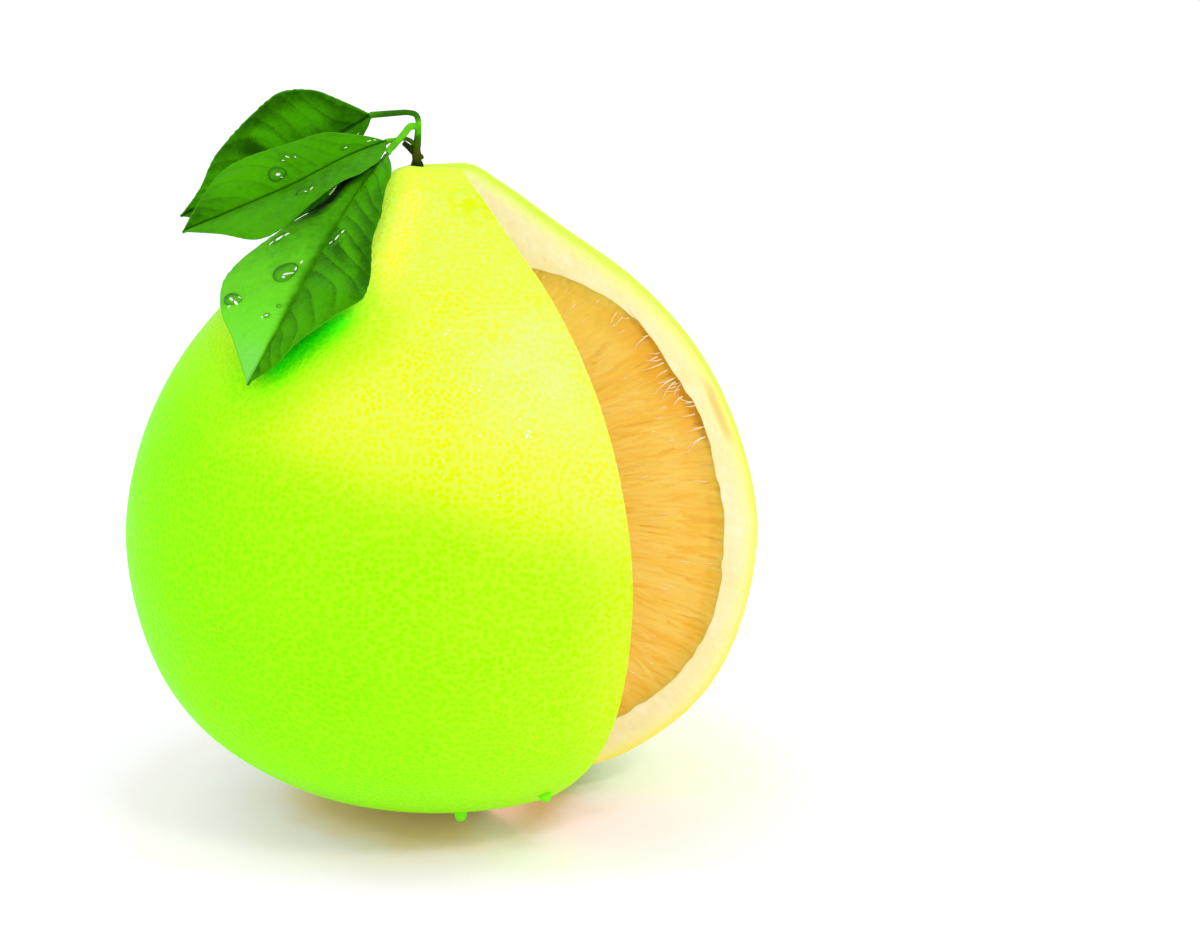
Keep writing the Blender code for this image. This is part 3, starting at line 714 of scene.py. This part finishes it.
def make_rind():
    """Skin all round, both cut faces and the rim of the hollow behind them."""
    profile = skin_profile()
    climb = np.r_[0.0, np.cumsum(np.linalg.norm(np.diff(profile, axis=0), axis=1))]
    angles = np.linspace(FAR_CUT, NEAR_CUT, SKIN_STATIONS + 1)
    rows = [on_plane(lobed(profile, angle), angle) for angle in angles]
    places = np.concatenate(rows)
    away = np.linalg.norm(places - np.array(CRINKLE_PLACE), axis=1)
    parts = [{"verts": places, "faces": grid_faces(len(rows), len(profile), flip=True),
              "data": {"turn": np.repeat(angles, len(profile)), "rise": np.tile(climb, len(rows)),
                       "ripe": ripeness_and_leaf_shade(places), "sheen": painted_sheen_over(places),
                       "lift": painted_glow_over(places),
                       "crinkled": np.clip(1.6 - away / 6.0, 0, 1)}}]
    loop = flesh_wall(len(profile), 0.0)
    axis = np.stack([np.zeros(CORE_STEPS), np.linspace(CROWN_DIP, 0.0, CORE_STEPS + 2)[1:-1]], 1)
    core = np.stack([np.full(CORE_STEPS, CORE_RADIUS),
                     np.linspace(loop[-1, 1], loop[0, 1], CORE_STEPS + 2)[1:-1]], 1)
    inner = np.concatenate([loop, core])
    share = np.linspace(0.0, 1.0, CUT_ROWS)[:, None, None] ** 1.4
    for cut, side in ((FAR_CUT, 1.0), (NEAR_CUT, -1.0)):
        skin = lobed(profile, cut)
        outer = np.concatenate([skin, axis])
        flat = outer[None] * (1.0 - share) + inner[None] * share
        gap = np.linalg.norm(flat.reshape(-1, 1, 2) - skin[None], axis=2).min(1)
        wall = np.linalg.norm(flat - inner[None], axis=2).ravel()
        parts.append({"verts": on_plane(flat, cut), "material": 1,
                      "faces": grid_faces(CUT_ROWS, len(outer), around=True, flip=side > 0),
                      "data": {"depth": gap, "wall": wall}})
        back = np.linspace(0.0, WALL_DEPTH, WALL_ROWS)[:, None]
        ring = np.repeat(inner[None], WALL_ROWS, 0)
        parts.append({"verts": on_plane(ring, cut, back, side), "material": 1,
                      "faces": grid_faces(WALL_ROWS, len(inner), around=True, flip=side > 0),
                      "data": {"depth": 9.0, "wall": 0.2}})
    return add_piece("rind_dressed", parts, [skin_material(), pith_material()], ["rind"])


SAC_PLANE_DEPTH = 0.9
SAC_HEIGHT = 0.75
CORE_FAN = 0.55


def sac_field(columns, rows, count, seed):
    """Height, tone and crease of the juice sacs over a grid that is even along the wall."""
    rng = np.random.default_rng(seed)
    height = np.full((columns, rows), -0.35)
    tone = np.full(height.shape, 0.3)
    crease = np.ones(height.shape)
    across = np.linspace(0.0, 1.0, columns)[:, None]
    along = np.linspace(0.0, 1.0, rows)[None]
    for _ in range(count):
        centre = rng.uniform(0.0, 1.0)
        tail = rng.uniform(-0.12, 0.95)
        length = rng.uniform(0.14, 0.32)
        width = rng.uniform(0.0028, 0.0064)
        lean = rng.normal(0.0, 0.010)
        raised = rng.uniform(-0.16, 0.16)
        shade = rng.uniform(0.0, 1.0)
        first = max(int((centre - 0.03) * columns), 0)
        last = min(int((centre + 0.03) * columns) + 2, columns)
        low = max(int(tail * rows), 0)
        high = min(int((tail + length) * rows) + 2, rows)
        if last <= first or high <= low:
            continue
        reach = np.clip((along[:, low:high] - tail) / length, 0.0, 1.0)
        plump = np.sqrt(np.clip(np.sin(math.pi * reach ** 0.75), 0.0, 1.0)) * (0.45 + 0.55 * reach)
        offset = across[first:last] - centre - lean * (reach - 0.5)
        beside = np.abs(offset) / (width * np.maximum(plump, 0.05) * 1.25)
        dome = np.sqrt(np.clip(1.0 - beside ** 2, 0.0, 1.0)) * plump
        rise = np.where(beside < 1.0, SAC_HEIGHT * dome + raised - 0.4, -9.0)
        block = (slice(first, last), slice(low, high))
        wins = rise > height[block]
        height[block] = np.where(wins, rise, height[block])
        tone[block] = np.where(wins, shade, tone[block])
        crease[block] = np.where(wins, beside, crease[block])
    return height, tone, crease


def flesh_grid(columns, rows):
    """Flat places of the flesh grid, and their distance from the wall in millimetres."""
    wall = flesh_wall(columns, -0.25)
    share = np.linspace(0.0, 1.0, columns)
    fanned = share + CORE_FAN * np.sin(2.0 * math.pi * share) / (2.0 * math.pi)
    core = wall[0] * (1.0 - fanned[:, None]) + wall[-1] * fanned[:, None]
    inward = np.linspace(0.0, 1.0, rows)[None, :, None]
    flat = wall[:, None] * (1.0 - inward) + core[:, None] * inward
    return flat, np.linalg.norm(flat - wall[:, None], axis=2)


def flesh_depth(height, far):
    """Depth of the flesh behind the cut plane, torn away from the wall in one stretch."""
    turn = np.linspace(0.0, 1.0, len(far))[:, None]
    ragged = 0.5 + 0.5 * np.sin(turn * 61.0 + 1.5 * np.sin(turn * 23.0))
    torn = 1.7 * np.exp(-((turn - 0.68) / 0.08) ** 2) * (0.5 + ragged) + 0.10 * ragged
    furrow = torn * np.exp(-((far - 1.6) / 1.8) ** 2)
    back = SAC_PLANE_DEPTH * np.clip(far / 4.0, 0.1, 1.0) + furrow
    return np.maximum(back - height * np.clip(far / 2.0, 0.05, 1.0), 0.05)


# Cut, side, seed, columns, rows and sac count of each flesh face
FLESH_FACES = {"flesh_far_face": (FAR_CUT, 1.0, 11, 560, 150, 3600),
               "flesh_near_face": (NEAR_CUT, -1.0, 23, 480, 130, 3000)}


def make_flesh():
    """Both faces of the flesh, each a field of juice sacs with a skirt that goes back."""
    mat = flesh_material()
    for name, (cut, side, seed, columns, rows, count) in FLESH_FACES.items():
        flat, far = flesh_grid(columns, rows)
        around = np.repeat(np.linspace(0.0, 190.0, columns)[:, None], rows, 1)
        height, tone, crease = sac_field(columns, rows, count, seed)
        depth = flesh_depth(height, far)
        face = {"verts": on_plane(flat, cut, depth, side),
                "faces": grid_faces(columns, rows, flip=side < 0),
                "data": {"tone": tone.ravel(), "crease": crease.ravel(), "wall": far.ravel(),
                         "around": around.ravel(), "inward": far.ravel()}}
        rim = np.concatenate([flat[:, 0], flat[::-1, -1]])
        edge = np.concatenate([depth[:, 0], depth[::-1, -1]])
        skirt = np.stack([edge, edge + 2.5, edge + 5.0])
        back = {"verts": on_plane(np.repeat(rim[None], 3, 0), cut, skirt, side),
                "faces": grid_faces(3, len(rim), around=True, flip=side < 0),
                "data": {"tone": 0.2, "crease": 0.6, "wall": 0.5}}
        add_piece(name, [face, back], [mat], ["flesh"])


THREAD_COUNT = 84
THREAD_SIDES = 6


def sweep(points, sides):
    """Round tube along points with a radius: vertices in rings, and quads."""
    line = np.asarray(points, float)
    forward = unit(np.gradient(line[:, :3], axis=0))
    aside = np.array([0.0, 1.0, 0.0])
    rings = []
    for centre, ahead in zip(line, forward):
        aside = unit(aside - ahead * (aside @ ahead))
        upward = np.cross(ahead, aside)
        turn = np.linspace(0.0, 2.0 * math.pi, sides, endpoint=False)[:, None]
        rings.append(centre[:3] + (aside * np.cos(turn) + upward * np.sin(turn)) * centre[3])
    return np.array(rings), grid_faces(len(rings), sides, around=True)


def make_threads():
    """Loose pale stalks of juice sacs, most of them where the flesh has torn off the wall."""
    rng = np.random.default_rng(5)
    columns, rows = 400, 120
    threads = speckled_material("pomelo_thread", THREAD_TONES, 400.0, 2.0, Roughness=0.3,
                                Specular_IOR_Level=0.5)
    flat, _ = flesh_grid(columns, rows)
    parts = []
    for cut, side in ((FAR_CUT, 1.0), (NEAR_CUT, -1.0)):
        for number in range(THREAD_COUNT):
            torn = number % 3 == 0
            share = rng.normal(0.68, 0.055) if torn else rng.uniform(0.12, 0.92)
            column = int(share * columns)
            row = int(rng.triangular(0, 1, 6)) if torn else int(rng.uniform(2, 60))
            start = flat[column, row]
            ahead = unit(flat[column, row + 12] - start)
            bend = rng.normal(0.0, 0.35 if torn else 0.08)
            length = rng.uniform(2.0, 6.0) if torn else rng.uniform(1.2, 3.2)
            steps = np.linspace(0.0, 1.0, 8)[:, None]
            side_step = np.array([-ahead[1], ahead[0]])
            path = start + ahead * length * steps + side_step * bend * length * steps ** 2
            depth = 1.2 - 1.0 * np.sin(math.pi * steps[:, 0] * 0.8) * rng.uniform(0.6, 1.0)
            radius = rng.uniform(0.08, 0.16) * (1.0 - 0.75 * steps[:, 0]) * (1.6 if torn else 1.0)
            places = on_plane(path, cut, np.maximum(depth, 0.15), side)
            verts, faces = sweep(np.column_stack([places, radius]), THREAD_SIDES)
            parts.append({"verts": verts, "faces": faces})
    return add_piece("flesh_threads", parts, [threads])


# ---- the leaves and the twig ----

LEAF_STATIONS = 150
LEAF_LINES = 26
LEAF_HALF_THICK = 0.22
LEAF_BELLY = 0.10
# Pairs of side veins, how far they sweep ahead and how unevenly they are spaced
LEAF_VEINS = {"leaf_upper": (11.0, 2.1, 0.35), "leaf_middle": (11.0, 2.1, 0.35),
              "leaf_lower": (15.0, 1.9, 0.20)}
# Painted light on each half of a leaf, and how strongly each half is quilted with painted light and shade
# and furrowed with painted shade
LEAF_PAINTED_LIGHT = {"leaf_upper": (0.0, 0.0), "leaf_middle": (0.0, 0.08), "leaf_lower": (1.0, 0.0)}
LEAF_QUILT = {"leaf_upper": (0.36, 0.10), "leaf_middle": (0.28, 0.03), "leaf_lower": (0.04, 0.50)}
LEAF_TONE = {"leaf_upper": 0.48, "leaf_middle": 0.62, "leaf_lower": 0.50}
# Lighter and darker places, partly the leaf's own tone and partly painted highlight and shade of its folds:
# share of the length, line across, reach of both, slant and amount
LEAF_MARKS = {
    "leaf_upper": ((0.30, -0.52, 0.10, 0.24, 0.0, 0.50), (0.48, -0.40, 0.030, 0.30, 0.16, 0.85),
                   (0.56, -0.42, 0.040, 0.28, 0.16, -0.60), (0.08, -0.5, 0.12, 0.5, 0.0, -0.20),
                   (0.80, -0.5, 0.16, 0.5, 0.0, 0.15), (0.42, -0.9, 0.25, 0.18, 0.0, -0.30)),
    "leaf_middle": ((0.62, -0.65, 0.16, 0.30, 0.0, 0.28), (0.92, -0.45, 0.10, 0.5, 0.0, -0.55),
                    (0.25, -0.6, 0.12, 0.4, 0.0, 0.12), (0.72, 0.65, 0.16, 0.4, 0.0, 0.25)),
    "leaf_lower": ((0.28, 0.80, 0.12, 0.25, 0.0, -0.20), (0.52, 0.92, 0.10, 0.16, 0.0, -0.50),
                   (0.48, 0.35, 0.035, 0.30, 0.22, -0.35), (0.42, 0.35, 0.035, 0.35, 0.22, 0.30),
                   (0.62, 0.45, 0.09, 0.30, -0.10, 0.25), (0.80, 0.6, 0.12, 0.5, 0.0, 0.25),
                   (0.16, 0.4, 0.12, 0.5, 0.0, 0.35), (0.16, -0.5, 0.10, 0.5, 0.0, -0.15)),
}
VEIN_RELIEF = 0.35


def waved_edges(midrib, margins, share):
    """Margins of a leaf with a finely waved edge, kept off the midrib."""
    least = 0.62 * (1.0 - share) + 0.12 * share
    edges = []
    for margin in margins:
        scallop = 0.10 * np.sin(share * 118.0 + 3.0 * np.sin(share * 41.0)) * np.sin(math.pi * share)
        out = margin - midrib
        out[0] = out[1]
        out[-1] = out[-2]
        width = np.maximum(np.linalg.norm(margin - midrib, axis=1, keepdims=True), least)
        edges.append(midrib + unit(out) * (width + scallop))
    return edges


def between_veins(name, share, lines, width):
    """Place between two side veins, from 0 to 1, all over a leaf."""
    pairs, slant, wobble = LEAF_VEINS[name]
    phase = pairs * share ** 0.92 - slant * np.abs(lines)[None] ** 1.3 * np.minimum(width / 8.0, 1.0)
    phase = phase + 0.5 * (lines < 0)[None] + 0.08 * np.sin(share * 31.0 + lines[None] * 3.0)
    return (phase + wobble * np.sin(share * 13.0 + 1.0)) % 1.0


def leaf_data(name, share, lines, width, step, inside):
    """Attributes that colour a leaf."""
    spread = np.abs(lines)[None]
    second_half = 0.5 + 0.5 * np.tanh((lines + 0.04) / 0.05)[None]
    # Painted light on the half turned to the light, and how strongly the quilting is painted
    lit, quilted = (first * (1.0 - second_half) + second * second_half
                    for first, second in (LEAF_PAINTED_LIGHT[name], LEAF_QUILT[name]))
    lit = lit * np.clip(share * 1.35 - 0.18, 0.0, 1.25)
    # Painted light and shade across the quilting: darker just past each side vein, lighter towards the next
    tone = LEAF_TONE[name] + quilted * (step - 0.5) * inside
    for near_share, near_line, long, broad, slant, amount in LEAF_MARKS[name]:
        off = share - near_share - slant * (spread - abs(near_line))
        aside = (lines[None] - near_line) / broad
        tone = tone + amount * np.exp(-(off / long) ** 2 - aside ** 2)
    vein = 1.0 - np.abs(step - 0.5) * 2.0
    # Painted shade in the furrows of the side veins
    furrow = np.clip(1.0 - vein / 0.16, 0.0, 1.0) * quilted * 1.1 * inside
    shaded = np.zeros(width.shape)
    if name == "leaf_lower":
        shaded = np.clip(1.6 - np.abs(share - 0.24) / 0.13, 0.0, 1.0)
        shaded = shaded * np.clip(-lines[None] * 3.0 - 0.9 + 1.2 * (0.1 - share), 0.0, 1.0)
    hem = np.clip(1.0 - (1.0 - spread) * width / 0.45, 0.0, 1.0) * 0.6 * (lines < 0)[None]
    return {"rib": (spread * width).ravel(), "tone": tone.ravel(), "furrow": furrow.ravel(),
            "lit": lit.ravel(), "shaded": shaded.ravel(), "hem": (hem * (1 - shaded)).ravel(),
            "ribbed": 0.25 if name == "leaf_lower" else 1.0}


def make_leaf(name, outlines, mat):
    """Thin blade between two margins, with a sunk midrib, side veins and a waved edge."""
    midrib, *margins = (even_points(smooth_curve(line, 16), LEAF_STATIONS) for line in outlines)
    share = np.linspace(0.0, 1.0, LEAF_STATIONS)[:, None]
    edges = waved_edges(midrib, margins, share)
    forward = unit(np.gradient(midrib, axis=0))
    facing = unit(np.cross(forward, edges[1] - edges[0]))
    lines = np.arange(-LEAF_LINES, LEAF_LINES + 1) / LEAF_LINES
    spread = np.abs(lines)[None]
    edge = np.where((lines < 0)[None, :, None], edges[0][:, None], edges[1][:, None])
    flat = midrib[:, None] * (1.0 - spread[..., None]) + edge * spread[..., None]
    width = np.linalg.norm(edge - midrib[:, None], axis=2)
    swell = 4.0 * spread * (1.0 - spread)
    inside = np.minimum(swell, 1.0)
    step = between_veins(name, share, lines, width)
    quilt = np.sin(math.pi * (1.0 - np.abs(step - 0.5) * 2.0) / 2.0) ** 0.8
    rise = LEAF_BELLY * width * swell * 0.5
    rise = rise + VEIN_RELIEF * (quilt - 0.4) * inside * np.minimum(width / 8.0, 1.0)
    rib = spread * width
    rise = rise - 0.25 * np.exp(-(rib / 0.5) ** 2)
    crinkle = np.sin(share * 47.0 + lines[None] * 5.0) * np.sin(share * 29.0 - lines[None] * 11.0)
    rise = rise + 0.07 * crinkle * inside
    sheet = flat + facing[:, None] * rise[..., None]
    along = np.gradient(sheet, axis=0)
    across = np.gradient(sheet, axis=1)
    normal = unit(np.cross(along, across))
    taper = LEAF_HALF_THICK * np.clip(1.0 - spread ** 6 * 0.5, 0.3, 1.0)
    keel = 0.45 * np.exp(-(rib / 0.6) ** 2) * (1.0 - 0.8 * share)
    front = sheet + normal * taper[..., None]
    back = sheet - normal * (taper + keel)[..., None]
    flip = bool(normal[LEAF_STATIONS // 2, LEAF_LINES, 1] > 0)
    if flip:
        front, back = back, front
    rows, columns = rib.shape
    data = leaf_data(name, share, lines, width, step, inside ** 0.5)
    parts = [{"verts": front, "faces": grid_faces(rows, columns, flip=flip), "data": data},
             {"verts": back, "faces": grid_faces(rows, columns, flip=not flip),
              "data": {**data, "under": 1.0}}]
    rims = [np.concatenate([face[:, 0], face[-1, 1:-1], face[::-1, -1], face[0, -2:0:-1]])
            for face in (front, back)]
    parts.append({"verts": np.array(rims), "faces": grid_faces(2, len(rims[0]), around=True),
                  "data": {"rib": 5.0, "tone": 0.6, "under": 0.4, "hem": 0.5}})
    return add_piece(name + "_dressed", parts, [mat], [name])


TWIG_SIDES = 20


def make_twig():
    """Stem, stalks, cut stub and nub, swollen a little where they join."""
    parts = []
    for line, greens in zip(TWIG_LINES, TWIG_GREENS):
        curve = smooth_curve(line, 10)
        curve[:, 3] *= 1.0 + 0.10 * np.sin(curve[:, 2] * 2.3 + curve[:, 0]) * (curve[:, 2] < 169.0)
        verts, faces = sweep(curve, TWIG_SIDES)
        reach = np.linspace(0.0, 1.0, len(curve))
        green = np.repeat(np.interp(reach, *greens), TWIG_SIDES)
        parts.append({"verts": verts, "faces": faces, "data": {"green": green}})
        for end in (0, -1):
            ring = verts[end]
            cap = np.concatenate([ring, ring.mean(0, keepdims=True)])
            spokes = [(i, (i + 1) % TWIG_SIDES, TWIG_SIDES) for i in range(TWIG_SIDES)]
            parts.append({"verts": cap, "faces": spokes,
                          "data": {"green": float(green[0 if end == 0 else -1])}})
    return add_piece("twig_dressed", parts, [twig_material()], ["twig"])


# ---- water and painted highlights ----

def camera_ray(pixel_x, pixel_y):
    """Start and direction of the sight line through a pixel of the photograph's frame."""
    down = math.radians(CAMERA_DOWN)
    forward = Vector((0.0, math.cos(down), -math.sin(down)))
    upward = Vector((0.0, math.sin(down), math.cos(down)))
    side = (pixel_x - IMAGE_WIDTH / 2) / CAMERA_FOCAL_PIXELS
    rise = (IMAGE_HEIGHT / 2 - pixel_y) / CAMERA_FOCAL_PIXELS
    return Vector(CAMERA_PLACE) * MM, (forward + Vector((1, 0, 0)) * side + upward * rise)


# Drops: pixel across and down, length, width and height in millimetres, lean in degrees
DROPS = [
    (277.5, 174, 4.6, 4, 1.7, 20), (294, 156.5, 1.5, 1.3, 0.6, 0),
    (284, 155.5, 2.8, 1, 0.5, 10), (303.5, 191.5, 4.2, 2.4, 1, 20),
    (345, 148, 2.4, 1.1, 0.6, 20),
    (286, 272, 6.6, 4.6, 1.9, 40), (233.5, 300, 5.2, 3.4, 1.5, -30),
    (279, 238, 5.6, 1.6, 0.8, 32), (336, 244, 4.4, 1.2, 0.6, 35),
    (341, 233, 3.6, 1.1, 0.6, 40), (279, 306, 1.4, 1.2, 0.5, 0),
    (267, 315.5, 1.6, 1.4, 0.6, 0), (363, 189, 1.8, 1, 0.5, 30),
]
# Drops that hang on the base of the fruit
DRIPS = [(460.5, 812.5, 3.2, 3, 2.3, 0), (545, 794, 3, 2.6, 2.1, 20)]
# White sparks: painted highlights on the drops; the last two are painted white strips that stand in for
# gaps between the leaves
PAINTED_SPARKS = [
    (278.3, 174.5, 1.2, 0.7, 0.35, 10), (282, 177.5, 0.9, 0.3, 0.2, -30),
    (287.5, 157, 1.4, 0.35, 0.25, -25), (283, 160.5, 1, 0.3, 0.2, 0),
    (295.5, 157, 0.5, 0.4, 0.25, 0), (311.5, 188.5, 1.3, 0.4, 0.25, 30),
    (306, 191.5, 0.8, 0.3, 0.2, 0), (289, 273.5, 2.8, 0.5, 0.3, 15),
    (296, 268.5, 1.3, 0.5, 0.3, 60), (301.5, 262, 1.1, 0.5, 0.3, 60),
    (283.5, 277, 0.9, 0.4, 0.25, 0), (271, 243, 1.6, 0.4, 0.25, 35),
    (279.5, 238, 2.3, 0.5, 0.3, 35), (287, 234, 1.5, 0.4, 0.25, 35),
    (331, 242.5, 1.3, 0.35, 0.25, 40), (337, 237.5, 1.9, 0.45, 0.3, 45),
    (343, 231.5, 1.2, 0.35, 0.25, 50), (231, 299, 1.2, 0.6, 0.3, -40),
    (236.5, 304, 1.5, 0.6, 0.3, -50), (229, 306.5, 0.9, 0.4, 0.25, 20),
    (240, 297.5, 1, 0.35, 0.25, 0), (266, 315, 1, 0.5, 0.2, 10),
    (262, 317, 0.7, 0.35, 0.2, -20), (369, 141, 1.4, 0.3, 0.2, 10),
    (375, 140, 0.9, 0.3, 0.2, -10), (346, 147.5, 0.9, 0.3, 0.2, 20),
    (358, 134, 1, 0.25, 0.2, 40), (333, 190.5, 4, 0.45, 0.2, 50),
    (299.5, 217.5, 4.4, 0.4, 0.2, 30),
]
# Painted highlights: beads of light on the skin
PAINTED_GLINTS = [
    (527, 436, 1.2, 0.7, 0.4, 60), (529.5, 432, 0.9, 0.5, 0.4, -30),
    (524, 433.5, 0.5, 0.4, 0.3, 0), (531, 437, 0.5, 0.4, 0.3, 40),
    (479, 390, 0.9, 0.4, 0.3, 30), (481, 386, 0.5, 0.35, 0.25, -40),
    (553, 398, 0.6, 0.35, 0.25, 60), (520, 419, 0.5, 0.4, 0.25, 0),
    (446, 334, 1.5, 0.3, 0.2, 35), (449.5, 330.5, 0.8, 0.3, 0.2, 5),
    (443.5, 461, 0.3, 1.1, 0.2, 0), (443.5, 477, 0.3, 0.8, 0.2, 0),
    (493, 375, 0.5, 0.3, 0.2, 20), (480, 436, 0.4, 0.4, 0.2, 0),
    (589, 476, 0.4, 0.3, 0.2, 0), (473, 353, 0.5, 0.3, 0.2, 50),
    (492, 359, 0.4, 0.3, 0.2, 0), (575, 448, 0.3, 0.5, 0.2, 0),
    (498, 495, 0.5, 0.3, 0.2, 0), (516, 493, 0.4, 0.3, 0.2, 0),
]
DROP_RINGS = 9
DROP_SIDES = 28
DROP_SINK = 0.12


def surface_under(trees, origin, direction):
    """Nearest place where a ray meets one of the trees, and its normal."""
    best = None
    for tree in trees:
        place, normal, _, distance = tree.ray_cast(origin, direction)
        if place is not None and (best is None or distance < best[2]):
            best = (place, normal, distance)
    return best


def resting_plane(trees, place, normal, major, minor):
    """Centre and normal of the plane through the surface under a drop."""
    feet = []
    for step in range(12):
        turn = math.pi * step / 6.0
        start = place + major * math.cos(turn) + minor * math.sin(turn) + normal * 0.004
        below = surface_under(trees, start, -normal)
        if below is not None and below[2] < 0.008:
            feet.append(below[0])
    if len(feet) < 6:
        return place, normal
    points = np.array([list(foot) for foot in feet])
    middle = points.mean(0)
    flat = Vector(np.linalg.svd(points - middle)[2][2])
    return Vector(middle), flat if flat.dot(normal) > 0 else -flat


def drop_axes(normal, long, wide, lean):
    """Half of the length and of the width of a drop that lies across a normal."""
    right = (Vector((1, 0, 0)) - normal * normal.x).normalized()
    turn = math.radians(lean)
    major = (right * math.cos(turn) + normal.cross(right) * math.sin(turn)) * long * 0.5 * MM
    return major, normal.cross(major).normalized() * wide * 0.5 * MM


def drop_rings(place, normal, major, minor, high):
    """Rings of a drop in millimetres, from just under the surface up to its top."""
    rings = []
    for ring in range(DROP_RINGS):
        polar = 0.5 * math.pi * ring / (DROP_RINGS - 1)
        rise = (high * math.sin(polar) - DROP_SINK) * MM
        row = []
        for side in range(DROP_SIDES):
            around = 2.0 * math.pi * side / DROP_SIDES
            taper = 1.0 - 0.25 * math.cos(around)
            flat = major * math.cos(around) + minor * math.sin(around) * taper
            row.append(list((place + flat * math.cos(polar) ** 0.8 + normal * rise) / MM))
        rings.append(row)
    return rings


def make_drops(carriers, kinds):
    """Water and painted highlights that rest on the carriers: each kind has a name, its drops and a
    material.
    """
    trees = [BVHTree.FromPolygons([v.co for v in piece.data.vertices],
                                  [tuple(p.vertices) for p in piece.data.polygons])
             for piece in carriers]
    pieces = []
    for name, drops, mat in kinds:
        parts = []
        for pixel_x, pixel_y, long, wide, high, lean in drops:
            origin, direction = camera_ray(pixel_x, pixel_y)
            hit = surface_under(trees, origin, direction.normalized())
            if hit is None:
                continue
            place, normal, _ = hit
            if normal.dot(direction) > 0:
                normal = -normal
            for _ in range(2):
                major, minor = drop_axes(normal, long, wide, lean)
                place, normal = resting_plane(trees, place, normal, major, minor)
            rings = drop_rings(place, normal, major, minor, high)
            parts.append({"verts": rings, "faces": grid_faces(DROP_RINGS, DROP_SIDES, around=True)})
        pieces.append(add_piece(name, parts, [mat]))
    return pieces


# ---- studio ----

def make_stage():
    """White floor."""
    mesh = bpy.data.meshes.new("studio_floor")
    size = 30.0
    mesh.from_pydata([(-size, -size, 0), (size, -size, 0), (size, size, 0), (-size, size, 0)],
                     [], [(0, 1, 2, 3)])
    mesh.materials.append(floor_material())
    floor = bpy.data.objects.new("studio_floor", mesh)
    bpy.context.scene.collection.objects.link(floor)


def add_area(name, place, target, size, power, color):
    """Oblong soft light that points at a target."""
    data = bpy.data.lights.new(name, "AREA")
    data.shape = "RECTANGLE"
    data.size, data.size_y = size
    data.energy = power
    data.color = color
    light = bpy.data.objects.new(name, data)
    light.location = place
    light.rotation_euler = (Vector(target) - Vector(place)).to_track_quat("-Z", "Y").to_euler()
    bpy.context.scene.collection.objects.link(light)


def make_studio():
    """Even white surroundings with a soft key light from the upper right."""
    world = bpy.data.worlds.new("studio")
    world.use_nodes = True
    world.node_tree.nodes["Background"].inputs["Color"].default_value = (1.0, 1.0, 1.0, 1.0)
    world.node_tree.nodes["Background"].inputs["Strength"].default_value = 1.0
    bpy.context.scene.world = world
    add_area("key", (0.42, -0.55, 0.62), (0.0, 0.0, 0.09), (0.20, 0.07), 1.8, (1.0, 0.99, 0.96))
    add_area("window", (-0.50, -0.60, 0.60), (0.0, 0.0, 0.12), (0.16, 0.06), 0.4, (1.0, 1.0, 1.0))
    view = bpy.context.scene.view_settings
    view.view_transform = "Standard"
    view.look = "None"
    view.exposure = 0.0


def make_camera():
    """Camera at the photograph's angle."""
    data = bpy.data.cameras.new("camera")
    data.sensor_width = SENSOR_WIDTH
    data.lens = CAMERA_FOCAL_PIXELS / IMAGE_WIDTH * SENSOR_WIDTH
    data.clip_start = 0.01
    camera = bpy.data.objects.new("camera", data)
    camera.location = Vector(CAMERA_PLACE) * MM
    camera.rotation_euler = (math.radians(90.0 - CAMERA_DOWN), 0.0, 0.0)
    bpy.context.scene.collection.objects.link(camera)
    bpy.context.scene.camera = camera


make_camera()
make_studio()
make_stage()
rind = make_rind()
make_flesh()
make_threads()
upper = leaf_material("leaf_upper_green", (0.011, 0.075, 0.0005), (0.052, 0.320, 0.001),
                      (0.050, 0.300, 0.003))
other = leaf_material("leaf_green", (0.016, 0.110, 0.0005), (0.060, 0.350, 0.001),
                      (0.150, 0.690, 0.022))
leaves = [make_leaf(name, outlines, upper if name == "leaf_upper" else other)
          for name, outlines in LEAVES.items()]
make_twig()
on_leaf = water_material("water_on_leaf", (0.010, 0.130, 0.001), (0.090, 0.420, 0.015), 0.25, 0.6)
on_skin = water_material("water_on_skin", (0.090, 0.950, 0.001), (0.250, 0.960, 0.005), 0.8, 0.95)
# Near-white material of the painted highlights on the skin and on the drops
painted_glint_mat = speckled_material("painted_glint", PAINTED_GLINT_TONES, 900.0, 1.0, Roughness=0.12,
                          Specular_IOR_Level=0.6, Alpha=0.9)
water_and_glints = make_drops([rind] + leaves, [("water_drops", DROPS, on_leaf), ("water_drips", DRIPS, on_skin),
                                     ("painted_skin_glints", PAINTED_GLINTS, painted_glint_mat)])
make_drops(water_and_glints + leaves, [("painted_white_sparks", PAINTED_SPARKS, painted_glint_mat)])
